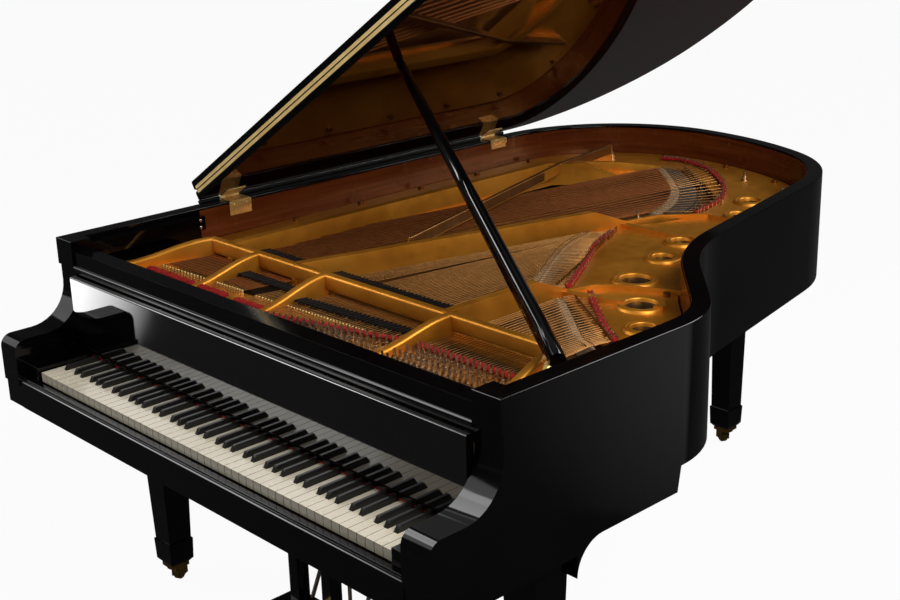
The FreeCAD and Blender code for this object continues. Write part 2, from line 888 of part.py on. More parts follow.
def string_felts():
    solids = []
    for bar in range(len(bar_low_shares) - 1):
        felt_y = web_back(bar_low_shares[bar] * half_width) - front_felt_lead
        x0 = bar_x(bar, felt_y) + bar_thickness
        x1 = bar_x(bar + 1, felt_y) - bar_thickness
        points = []
        for x in (x0, x1):
            points.append((x, web_back(x) - front_felt_lead - front_felt_width / 2))
        for x in (x1, x0):
            points.append((x, web_back(x) - front_felt_lead + front_felt_width / 2))
        solids.append(slab(points, web_top, web_top + felt_rise))
    for shares in (bass_felt_shares, tenor_felt_shares, treble_felt_shares):
        solids.append(ribbon(spots(shares), hitch_felt_width, web_top, web_top + felt_rise))
    return group(solids)


def frame_fasteners():
    solids = []
    for index, note, strand, x, bridge, along in strand_list():
        if strand == 0:
            end = bridge + along * hitch_run(index)
            solids.append(Part.makeCylinder(hitch_radius, hitch_rise, V(end.x, end.y, web_top)))
    for place in bolt_places():
        solids.append(Part.makeCylinder(bolt_radius, bolt_rise, place))
    return group(solids)


def note_places(y):
    """Across place of every note at y, with the pitch of its group."""
    places = []
    for index, note, strand, x, bridge, along in strand_list():
        if strand == 0:
            first, last = string_shares[index][:2]
            pitch = (last - first) * half_width / (note_counts[index] - 1)
            places.append((index, x + along.x / along.y * (y - strike_y), pitch))
    return places


def dampers():
    solids = []
    for index, x, pitch in note_places(damper_front + damper_length / 2):
        if index < damped_groups:
            z = bearing_top + 2 * gauge(index) + rest_gap
            width = pitch * 0.7
            solids.append(block(x - width / 2, x + width / 2, damper_front, damper_front + damper_length,
                                z, z + damper_height))
    return group(solids)


# Keyboard and action

def balance_bead(radius):
    """The round bead that every key rocks on."""
    half = keyboard_width / 2
    return rod(V(-half, balance_y, key_bottom), V(half, balance_y, key_bottom), radius)


def white_span(white):
    left = -keyboard_width / 2 + white * key_pitch
    return left + key_gap / 2, left + key_pitch - key_gap / 2


def sharp_span(white, pitch_class):
    middle = -keyboard_width / 2 + (white + 1) * key_pitch + sharp_offset_shares[pitch_class] * key_pitch
    return middle - sharp_width / 2, middle + sharp_width / 2


def white_key(white, pitch_class, lowest, highest):
    left, right = white_span(white)
    tail_left, tail_right = left, right
    below, above = (pitch_class - 1) % 12, (pitch_class + 1) % 12
    if below in sharp_offset_shares and not lowest:
        tail_left = sharp_span(white - 1, below)[1] + key_gap
    if above in sharp_offset_shares and not highest:
        tail_right = sharp_span(white, above)[0] - key_gap
    head = block(left, right, 0, sharp_front - key_gap, key_bottom, key_top)
    tail = block(tail_left, tail_right, 0, key_back, key_bottom, key_top)
    return fused([head, tail]).cut(balance_bead(bearing_radius + running_fit))


def black_key(white, pitch_class):
    left, right = sharp_span(white, pitch_class)
    stick_top = key_top - sharp_stick_drop
    profile = [
        (sharp_front, key_bottom), (sharp_front, key_top), (sharp_front + sharp_slope, sharp_top),
        (sharp_back, sharp_top), (sharp_back, stick_top), (key_back, stick_top), (key_back, key_bottom),
    ]
    key = side_slab(profile, left, right)
    tops = [e for e in key.Edges if e.BoundBox.ZMin > sharp_top - glue_gap and e.BoundBox.XLength < glue_gap]
    return key.makeChamfer(sharp_edge, tops).cut(balance_bead(bearing_radius + running_fit))


def key_groups():
    groups = {name: [] for name in pitch_names}
    white = -1
    for number in range(key_count):
        pitch_class = (pitch_names.index("a") + number) % len(pitch_names)
        if pitch_class in sharp_offset_shares:
            key = black_key(white, pitch_class)
        else:
            white += 1
            key = white_key(white, pitch_class, number == 0, number == key_count - 1)
        groups[pitch_names[pitch_class]].append(key)
    return groups


def key_frame():
    half = keyboard_width / 2
    floor = keybed_top + running_fit
    front = block(-half, half, front_rail_front, front_rail_front + front_rail_depth, floor,
                  key_bottom - key_dip_room)
    low = balance_y - balance_rail_depth / 2
    strip_top = key_bottom - rest_gap
    rail = block(-half, half, low, low + balance_rail_depth, floor, strip_top - bearing_rise)
    strip = block(-half, half, balance_y - bearing_strip / 2, balance_y + bearing_strip / 2, floor, strip_top)
    back = block(-half, half, key_back - back_rail_depth, key_back, floor, strip_top)
    sill = block(-half, half, key_back + sill_gap, key_back + sill_gap + sill_depth, floor, keybed_top + sill_height)
    return group([front, fused([rail, strip, balance_bead(bearing_radius)]), back, sill])


def bracket_places():
    half = hammer_width
    ends = [row[0] * half_width - 2 * bracket_thickness - half for row in string_shares]
    return ends + [string_shares[-1][1] * half_width + bracket_thickness + half]


def action_frame():
    foot_y = key_back + sill_gap
    foot_z = keybed_top + sill_height
    arm_top = hammer_pivot_z + bracket_nose
    profile = [
        (foot_y, foot_z), (foot_y + sill_depth, foot_z), (foot_y + sill_depth, bracket_arm_bottom + bracket_nose),
        (hammer_pivot_y + bracket_nose, arm_top), (hammer_pivot_y - bracket_nose, arm_top),
        (hammer_pivot_y - bracket_nose, bracket_arm_bottom), (foot_y, bracket_arm_bottom),
    ]
    places = bracket_places()
    plates = [side_slab(profile, x, x + bracket_thickness) for x in places]
    axle = rod(V(places[0], hammer_pivot_y, hammer_pivot_z),
               V(places[-1] + bracket_thickness, hammer_pivot_y, hammer_pivot_z), hammer_rod_radius)
    return fused(plates + [axle])


def hammers():
    solids = []
    for index, x, pitch in note_places(strike_y):
        left, right = x - hammer_width / 2, x + hammer_width / 2
        hub = rod(V(left, hammer_pivot_y, hammer_pivot_z), V(right, hammer_pivot_y, hammer_pivot_z), hammer_hub)
        head_y = hammer_pivot_y + hammer_reach
        shank = rod(V(x, hammer_pivot_y, hammer_pivot_z), V(x, head_y, hammer_pivot_z), shank_radius)
        tip = hammer_pivot_z + hammer_head_height
        low = hammer_pivot_z - shank_radius - rest_gap
        profile = [(head_y - hammer_head_depth / 4, low), (head_y + hammer_head_depth / 4, low),
                   (head_y + hammer_head_depth / 2, (low + tip) / 2), (head_y + hammer_head_depth / 6, tip),
                   (head_y - hammer_head_depth / 6, tip), (head_y - hammer_head_depth / 2, (low + tip) / 2)]
        head = side_slab(profile, left, right)
        bore = rod(V(left - overrun, hammer_pivot_y, hammer_pivot_z), V(right + overrun, hammer_pivot_y, hammer_pivot_z),
                   hammer_rod_radius + running_fit)
        solids.append(fused([hub, shank, head]).cut(bore))
    return group(solids)


def fallboard():
    reach = arm_inside - side_gap
    board = block(-reach, reach, fallboard_front, fallboard_front + fallboard_thickness, fallboard_bottom, fallboard_top)
    edges = [e for e in board.Edges if e.BoundBox.ZMin > fallboard_top - glue_gap and e.BoundBox.XLength > reach]
    board = board.makeFillet(min(fall_round, fallboard_thickness / 3), edges)
    pin = rod(V(0, fall_axis_y, fall_axis_z), V(arm_inside + fall_pin_depth - side_gap, fall_axis_y, fall_axis_z),
              fall_pin_radius)
    return fused([board, pin, mirrored(pin)])


def fallboard_felt():
    half = keyboard_width / 2
    front = fallboard_front - fall_felt_proud
    return block(-half, half, front, front + fall_felt_depth, fallboard_bottom - fall_felt_height, fallboard_bottom)


# Lid: drawn closed, then opened about its hinge

def opened(shape):
    return shape.rotated(V(hinge_x, 0, hinge_z), V(0, 1, 0), -lid_open)


def folded(shape):
    return shape.rotated(V(0, fold_axis_y, fold_axis_z), V(1, 0, 0), half_turn)


def rounded_panel(panel, keep_y):
    edges = []
    for edge in panel.Edges:
        box = edge.BoundBox
        if box.ZLength < glue_gap and not (abs(box.YMin - keep_y) < glue_gap and box.YLength < glue_gap):
            edges.append(edge)
    return panel.makeFillet(min(lid_round, lid_thickness / 3), edges)


def lid_main():
    return opened(rounded_panel(case_prism(0, fold_y, lid_under, lid_upper), fold_y))


def lid_flap():
    back = 2 * fold_axis_y - fold_y
    panel = block(-half_width, half_width, arm_front, back, lid_under, lid_upper)
    return opened(folded(rounded_panel(panel, back)))


def knuckles(parity):
    length = (case_width - 2 * flap_leaf_inset) / flap_knuckle_count
    start = -half_width + flap_leaf_inset
    tubes = []
    for i in range(parity, flap_knuckle_count, 2):
        x0 = start + i * length + running_fit
        tubes.append(rod(V(x0, fold_axis_y, fold_axis_z), V(x0 + length - 2 * running_fit, fold_axis_y, fold_axis_z),
                         flap_knuckle_radius))
    return tubes


def long_leaf():
    x = half_width - flap_leaf_inset
    leaf = block(-x, x, fold_y - flap_leaf, fold_y, lid_upper - flap_leaf_height, fold_axis_z - flap_pin_radius)
    gaps = [tube.makeOffsetShape(flap_knuckle_gap / 2, running_fit) for tube in knuckles(1)]
    pin = rod(V(-x, fold_axis_y, fold_axis_z), V(x, fold_axis_y, fold_axis_z), flap_pin_radius)
    return fused([leaf.cut(group(gaps)), pin] + knuckles(0))


def flap_hinge_leaf():
    x = half_width - flap_leaf_inset
    leaf_y = 2 * fold_axis_y - fold_y
    leaf = block(-x, x, leaf_y, leaf_y + flap_leaf, lid_upper - flap_leaf_height, fold_axis_z - flap_pin_radius)
    gaps = [tube.makeOffsetShape(flap_knuckle_gap / 2, running_fit) for tube in knuckles(0)]
    pin = rod(V(-half_width, fold_axis_y, fold_axis_z), V(half_width, fold_axis_y, fold_axis_z),
              flap_pin_radius + running_fit)
    return opened(folded(fused([leaf.cut(group(gaps))] + knuckles(1)).cut(pin)))


def butt_knuckle(y0, y1):
    return rod(V(hinge_x, y0, hinge_z), V(hinge_x, y1, hinge_z), knuckle_radius)


def lid_hinge_leaves():
    solids = [opened(long_leaf())]
    third = hinge_length / 3
    for y in (hinge_front_y, hinge_tail_y):
        low = y - hinge_length / 2
        leaf = block(-half_width, -wall_inside, low, low + hinge_length, lid_under - hinge_leaf, lid_under)
        pieces = [leaf]
        for y0 in (low, low + 2 * third + running_fit):
            y1 = y0 + third - running_fit
            arm = block(hinge_x, -half_width, y0, y1, lid_under - hinge_leaf, lid_under)
            pieces += [arm, butt_knuckle(y0, y1)]
        pin = rod(V(hinge_x, low - overrun, hinge_z), V(hinge_x, low + hinge_length + overrun, hinge_z),
                  hinge_pin_radius + running_fit)
        solids.append(opened(fused(pieces).cut(pin)))
    return group(solids)


def prop_frame():
    """Foot, raised direction, hinge axis and flat direction of the prop."""
    foot = V(half_width - prop_foot_inset, prop_foot_y, prop_foot_z)
    turn = FreeCAD.Rotation(V(0, 1, 0), -lid_open)
    axis = V(hinge_x, 0, hinge_z)
    cup = axis + turn.multVec(V(prop_cup_reach, prop_cup_y, lid_under - hinge_z))
    raised = (cup - foot).normalize()
    heading = math.radians(prop_stow_heading)
    flat = V(math.cos(heading), math.sin(heading), 0)
    middle = (flat + raised).normalize()
    normal = flat.cross(raised).normalize()
    tilt = math.radians(prop_axis_tilt)
    axis = middle * math.sin(tilt) + normal * math.cos(tilt)
    return foot, raised, axis, flat, cup


def prop_fold():
    """Angle that the prop turns about its axis, from raised to flat."""
    foot, raised, axis, flat, cup = prop_frame()
    from_side = raised - axis * axis.dot(raised)
    to_side = flat - axis * axis.dot(flat)
    return math.degrees(math.atan2(from_side.cross(to_side).dot(axis), from_side.dot(to_side)))


def lid_prop():
    foot, raised, axis, flat, cup = prop_frame()
    length = (cup - foot).Length
    back = FreeCAD.Rotation(axis, -prop_fold())
    wide = back.multVec(V(0, 0, 1).cross(flat))
    deep = raised.cross(wide)
    rings = []
    reach = length + overrun + overrun
    tip_share = reach / length
    for share in (0.0, tip_share):
        width = prop_base_width + share * (prop_tip_width - prop_base_width)
        depth = prop_base_depth + share * (prop_tip_depth - prop_base_depth)
        centre = foot + raised * (share * length)
        corners = [centre + wide * (a * width / 2) + deep * (b * depth / 2)
                   for a, b in ((-1, -0.4), (-0.6, -1), (0.6, -1), (1, -0.4), (1, 0.4), (0.6, 1), (-0.6, 1), (-1, 0.4))]
        rings.append(Part.makePolygon(corners + [corners[0]]))
    stick = Part.makeLoft(rings, True, True)
    above = opened(block(-half_width, half_width, 0, case_reach, lid_under - prop_tip_gap, lid_upper + case_width))
    knob = rod(foot - axis * knob_depth, foot, knob_radius)
    bore = rod(foot - axis * (knob_depth + overrun), foot - axis * (knob_depth - pivot_depth), pivot_radius + running_fit)
    return fused([stick.cut(above), knob]).cut(bore)


def case_hardware():
    solids = []
    third = hinge_length / 3
    inner = -wall_inside + glue_gap + veneer_thickness + glue_gap
    for y in (hinge_front_y, hinge_tail_y):
        low = y - hinge_length / 2
        strap = block(-half_width, inner + hinge_leaf, low, low + hinge_length, rim_top, rim_top + hinge_leaf)
        drop = block(inner, inner + hinge_leaf, low, low + hinge_length, rim_top - hinge_drop, rim_top)
        arm = block(hinge_x, -half_width, low + third + running_fit, low + 2 * third - running_fit,
                    rim_top, rim_top + hinge_leaf)
        middle = butt_knuckle(low + third + running_fit, low + 2 * third - running_fit)
        pin = rod(V(hinge_x, low, hinge_z), V(hinge_x, low + hinge_length, hinge_z), hinge_pin_radius)
        solids.append(fused([strap, drop, arm, middle, pin]))
    foot, raised, axis, flat, cup = prop_frame()
    seat = foot - axis * (knob_depth + rest_gap)
    base = seat - axis * ((seat.z - web_top) / axis.z + overrun)
    post = rod(base, seat, post_radius)
    pivot = rod(seat, foot - axis * (knob_depth - pivot_depth + rest_gap), pivot_radius)
    floor = block(0, case_width, 0, case_reach, 0, web_top)
    solids.append(fused([post, pivot]).cut(floor))
    return group(solids)


# Legs and casters

def leg(x, y, top_z, top_width):
    shaft = frustum(x, y, foot_top, leg_waist_width, top_z, top_width)
    sole = foot_bottom + foot_chamfer
    foot = fused([frustum(x, y, sole, foot_sole_width, foot_top, foot_collar_width),
                  frustum(x, y, foot_bottom, ferrule_width + 2 * ferrule_margin, sole, foot_sole_width)])
    bore = rod(V(x, y, 0), V(x, y, ferrule_bottom + stem_length + rest_gap), stem_radius + running_fit)
    return fused([shaft, foot]).cut(bore)


def leg_places():
    x, y = spot(tail_leg_shares)
    return {"left": (-front_leg_x, front_leg_y), "right": (front_leg_x, front_leg_y), "tail": (x, y)}


def caster_ferrules():
    solids = []
    half = ferrule_width / 2
    for x, y in leg_places().values():
        plate = block(x - half, x + half, y - half, y + half, ferrule_bottom, foot_bottom)
        solids.append(plate.cut(rod(V(x, y, 0), V(x, y, rim_top), stem_radius + running_fit)))
    return group(solids)


def caster_fork(x, y):
    plate_bottom = 2 * wheel_radius + wheel_clear
    plate_top = plate_bottom + fork_plate
    plate = Part.makeCylinder(fork_plate_radius, fork_plate, V(x, y, plate_bottom))
    stem = rod(V(x, y, plate_bottom), V(x, y, ferrule_bottom + stem_length), stem_radius)
    inner = wheel_width / 2 + fork_gap
    axle_y = y + wheel_trail
    pieces = [plate, stem]
    for side in (-1, 1):
        x0 = x + side * inner
        x1 = x + side * (inner + fork_wall)
        cheek = block(min(x0, x1), max(x0, x1), axle_y - fork_cheek_depth / 2, axle_y + fork_cheek_depth / 2,
                      wheel_radius - axle_radius * 2, plate_top)
        pieces.append(cheek)
    pieces.append(rod(V(x - inner - fork_wall, axle_y, wheel_radius), V(x + inner + fork_wall, axle_y, wheel_radius),
                      axle_radius))
    return fused(pieces)


def caster_wheel(x, y):
    axle_y = y + wheel_trail
    half = wheel_width / 2
    wheel = rod(V(x - half, axle_y, wheel_radius), V(x + half, axle_y, wheel_radius), wheel_radius)
    rims = [e for e in wheel.Edges if e.Closed]
    wheel = wheel.makeFillet(min(wheel_round, wheel_width / 4), rims)
    return wheel.cut(rod(V(x - half - overrun, axle_y, wheel_radius), V(x + half + overrun, axle_y, wheel_radius),
                         axle_radius + running_fit))


# Pedal lyre

def lyre_frame():
    half_box = lyre_box_width / 2
    y0, y1 = lyre_y - lyre_box_depth / 2, lyre_y + lyre_box_depth / 2
    box = block(-half_box, half_box, y0, y1, lyre_box_bottom, lyre_box_top)
    hollow = block(-half_box + lyre_wall, half_box - lyre_wall, y0 - overrun, y1 + overrun,
                   lyre_box_bottom + lyre_wall, lyre_box_top - lyre_wall)
    half_post = lyre_post_width / 2
    pieces = [box.cut(hollow)]
    for side in (-1, 1):
        x = side * lyre_post_spread / 2
        pieces.append(block(x - half_post, x + half_post, lyre_y - half_post, lyre_y + half_post, lyre_box_top,
                            keybed_bottom))
    reach = lyre_post_spread / 2 + half_post
    pieces.append(block(-reach, reach, lyre_y - half_post, lyre_y + half_post, keybed_bottom - lyre_head_height,
                        keybed_bottom))
    frame = fused(pieces)
    for x in (-pedal_spread, 0, pedal_spread):
        guide = rod(V(x, rod_y(), lyre_box_top - overrun), V(x, rod_y(), lyre_box_top + overrun), rod_radius + rod_guide_gap)
        frame = frame.cut(guide)
    return frame


def rod_y():
    return lyre_y + pedal_tail - rod_radius - rest_gap


def lyre_rods():
    half_box = lyre_box_width / 2
    axle = rod(V(-half_box + lyre_wall, lyre_y, pedal_axle_z), V(half_box - lyre_wall, lyre_y, pedal_axle_z),
               pedal_axle_radius)
    solids = [axle]
    back = lyre_y + lyre_box_depth / 2
    for side in (-1, 1):
        x = side * brace_rod_spread
        low = V(x, back - brace_rod_radius, lyre_box_top - brace_rod_radius)
        high = V(x * 0.8, back + brace_rod_run, keybed_bottom + brace_rod_radius)
        brace = rod(low, high, brace_rod_radius)
        room = block(-case_width, case_width, 0, case_reach, lyre_box_top, keybed_bottom)
        solids.append(brace.common(room))
    return group(solids)


def pedal(x):
    half = pedal_width / 2
    toe = pedal_toe_width / 2
    nose = lyre_y - pedal_reach
    neck = nose + pedal_toe_length
    bottom = pedal_axle_z - pedal_thickness / 2
    plan = [(x - half, lyre_y + pedal_tail), (x - half, neck + toe), (x - toe, neck), (x - toe, nose + toe),
            (x - half, nose), (x + half, nose), (x + toe, nose + toe), (x + toe, neck), (x + half, neck + toe),
            (x + half, lyre_y + pedal_tail)]
    lever = slab(plan, bottom, bottom + pedal_thickness)
    hub = rod(V(x - half, lyre_y, pedal_axle_z), V(x + half, lyre_y, pedal_axle_z), pedal_axle_radius * 2)
    bore = rod(V(x - toe, lyre_y, pedal_axle_z), V(x + toe, lyre_y, pedal_axle_z), pedal_axle_radius + running_fit)
    return fused([lever, hub]).cut(bore)


def pedal_rod(x):
    bottom = pedal_axle_z + pedal_thickness / 2 + rest_gap
    return rod(V(x, rod_y(), bottom), V(x, rod_y(), keybed_bottom - rod_top_gap), rod_radius)


def build():
    nodes = {
        "outer_rim": outer_rim(), "inner_case": inner_case(), "rim_veneer": rim_veneer(), "keybed": keybed(),
        "key_slip": key_slip(), "key_blocks": key_blocks(), "front_rails": front_rails(), "pinblock": pinblock(),
        "soundboard": soundboard(), "bridges": bridges(), "iron_frame": iron_frame(),
        "frame_fasteners": frame_fasteners(), "tuning_pins": tuning_pins(), "agraffes": agraffes(),
        "bass_strings": bass_strings(), "plain_strings": plain_strings(), "string_felts": string_felts(),
        "dampers": dampers(), "key_frame": key_frame(), "action_frame": action_frame(), "hammers": hammers(),
        "fallboard": fallboard(), "fallboard_felt": fallboard_felt(), "lid_main": lid_main(), "lid_flap": lid_flap(),
        "lid_hinge_leaves": lid_hinge_leaves(), "flap_hinge_leaf": flap_hinge_leaf(), "lid_prop": lid_prop(),
        "case_hardware": case_hardware(), "lyre_frame": lyre_frame(), "lyre_rods": lyre_rods(),
        "caster_ferrules": caster_ferrules(),
    }
    for name, solids in key_groups().items():
        nodes["keys_" + name] = group(solids)
    for side, (x, y) in leg_places().items():
        tail = side == "tail"
        top_z = rim_bottom if tail else keybed_bottom
        nodes[side + "_leg"] = leg(x, y, top_z, tail_leg_top_width if tail else leg_top_width)
        stem = V(x, y, 0)
        nodes[side + "_caster_fork"] = caster_fork(x, y).rotated(stem, V(0, 0, 1), caster_turns[side])
        nodes[side + "_caster_wheel"] = caster_wheel(x, y).rotated(stem, V(0, 0, 1), caster_turns[side])
    for side, x in (("left", -pedal_spread), ("middle", 0), ("right", pedal_spread)):
        nodes[side + "_pedal"] = pedal(x)
        nodes[side + "_pedal_rod"] = pedal_rod(x)
    return nodes


def home(nodes):
    """Where the origin lies on the drawing: under the middle of the box around everything."""
    box = FreeCAD.BoundBox()
    for shape in nodes.values():
        box.add(shape.optimalBoundingBox(False, False))
    return V(box.Center.x, box.Center.y, box.ZMin)


def main():
    os.makedirs("parts", exist_ok=True)
    nodes = build()
    origin = home(nodes)
    print("origin on the drawing", [round(v, 3) for v in origin])
    for name, shape in nodes.items():
        placed = shape.translated(origin * -1)
        placed.exportStep("parts/" + name + ".step")
    print(len(nodes), "nodes")


if __name__ == "__main__":
    main()
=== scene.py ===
import bmesh
import bpy
import json
import math
from mathutils import Matrix, Vector

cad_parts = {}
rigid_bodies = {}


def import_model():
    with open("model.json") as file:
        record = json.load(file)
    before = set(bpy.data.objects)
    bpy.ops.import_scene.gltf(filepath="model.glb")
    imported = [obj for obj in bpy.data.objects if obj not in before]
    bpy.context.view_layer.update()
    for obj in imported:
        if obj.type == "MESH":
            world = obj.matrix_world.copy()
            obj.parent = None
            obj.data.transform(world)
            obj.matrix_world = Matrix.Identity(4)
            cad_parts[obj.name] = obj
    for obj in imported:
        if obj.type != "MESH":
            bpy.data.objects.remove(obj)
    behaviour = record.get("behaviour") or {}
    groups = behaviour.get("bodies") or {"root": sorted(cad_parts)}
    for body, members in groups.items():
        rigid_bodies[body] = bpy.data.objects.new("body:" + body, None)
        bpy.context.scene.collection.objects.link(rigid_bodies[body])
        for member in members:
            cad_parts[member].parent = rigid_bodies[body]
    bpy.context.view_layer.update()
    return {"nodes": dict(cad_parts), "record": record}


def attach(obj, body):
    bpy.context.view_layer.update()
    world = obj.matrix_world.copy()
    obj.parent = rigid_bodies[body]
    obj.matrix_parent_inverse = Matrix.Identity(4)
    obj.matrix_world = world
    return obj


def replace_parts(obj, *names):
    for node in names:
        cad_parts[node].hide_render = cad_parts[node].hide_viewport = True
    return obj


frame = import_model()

nodes = frame["nodes"]
print("stage: frame loaded,", len(nodes), "nodes")

# the drawing's own zero, in millimetres: keyboard middle and key fronts; heights count from under the floor
drawing = {"x": -14.404, "y": 1041.0, "z": 40.0}


def at(x, y, z):
    return Vector((x - drawing["x"], y - drawing["y"], z - drawing["z"])) / 1000


# camera at the photograph's angle
photoCamera = {"azimuth": 46.81, "elevation": 18.52, "roll": -1.54, "lens": 56.34, "sensor": 36,
               "sight": 60, "place": (2256.83, -1391.11, 1897.92)}


def makeCamera(spec):
    data = bpy.data.cameras.new("photoCamera")
    data.lens = spec["lens"]
    data.sensor_width = spec["sensor"]
    data.clip_end = spec["sight"]
    cam = bpy.data.objects.new("photoCamera", data)
    bpy.context.scene.collection.objects.link(cam)
    az, el, roll = (math.radians(spec[k]) for k in ("azimuth", "elevation", "roll"))
    right = Vector((math.cos(az), math.sin(az), 0))
    back = Vector((math.sin(az) * math.cos(el), -math.cos(az) * math.cos(el), math.sin(el)))
    up = back.cross(right)
    tiltRight = right * math.cos(roll) + up * math.sin(roll)
    tiltUp = up * math.cos(roll) - right * math.sin(roll)
    turn = Matrix((tiltRight, tiltUp, back)).transposed()
    cam.matrix_world = Matrix.Translation(at(*spec["place"])) @ turn.to_4x4()
    bpy.context.scene.camera = cam


makeCamera(photoCamera)
bpy.context.scene.view_settings.view_transform = "Standard"
print("stage: camera")

# material helpers: every finish is mixed from noise on object coordinates
grainNoise = {"tone": 5.0, "wear": 3.0, "relief": 2.0, "rough": 0.55, "span": (0.3, 0.7)}


def stretched(tree, coords, scale, turn):
    mapping = tree.nodes.new("ShaderNodeMapping")
    mapping.inputs["Scale"].default_value = scale
    mapping.inputs["Rotation"].default_value = [math.radians(a) for a in turn]
    tree.links.new(coords.outputs["Object"], mapping.inputs["Vector"])
    return mapping.outputs["Vector"]


def noise(tree, vector, scale, use, twist=0.0):
    tex = tree.nodes.new("ShaderNodeTexNoise")
    tex.inputs["Scale"].default_value = scale
    tex.inputs["Detail"].default_value = grainNoise[use]
    tex.inputs["Roughness"].default_value = grainNoise["rough"]
    tex.inputs["Distortion"].default_value = twist
    tree.links.new(vector, tex.inputs["Vector"])
    return tex.outputs["Fac"]


def ramp(tree, value, stops):
    node = tree.nodes.new("ShaderNodeValToRGB")
    elements = node.color_ramp.elements
    for end in (0, -1):
        elements[end].position = stops[end][0]
        elements[end].color = (*stops[end][1], 1)
    for place, colour in stops[1:-1]:
        elements.new(place).color = (*colour, 1)
    tree.links.new(value, node.inputs["Fac"])
    return node.outputs["Color"]


def spread(tree, value, low, high):
    node = tree.nodes.new("ShaderNodeMapRange")
    limits = zip(("From Min", "From Max", "To Min", "To Max"), (*grainNoise["span"], low, high))
    for socket, limit in limits:
        node.inputs[socket].default_value = limit
    tree.links.new(value, node.inputs["Value"])
    return node.outputs["Result"]


def relief(tree, shader, value, strength, depth):
    node = tree.nodes.new("ShaderNodeBump")
    node.inputs["Strength"].default_value = strength
    node.inputs["Distance"].default_value = depth
    tree.links.new(value, node.inputs["Height"])
    tree.links.new(node.outputs["Normal"], shader.inputs["Normal"])


def mathNode(tree, operation, first, second):
    node = tree.nodes.new("ShaderNodeMath")
    node.operation = operation
    for socket, value in zip(node.inputs, (first, second)):
        if isinstance(value, (int, float)):
            socket.default_value = value
        else:
            tree.links.new(value, socket)
    return node.outputs[0]


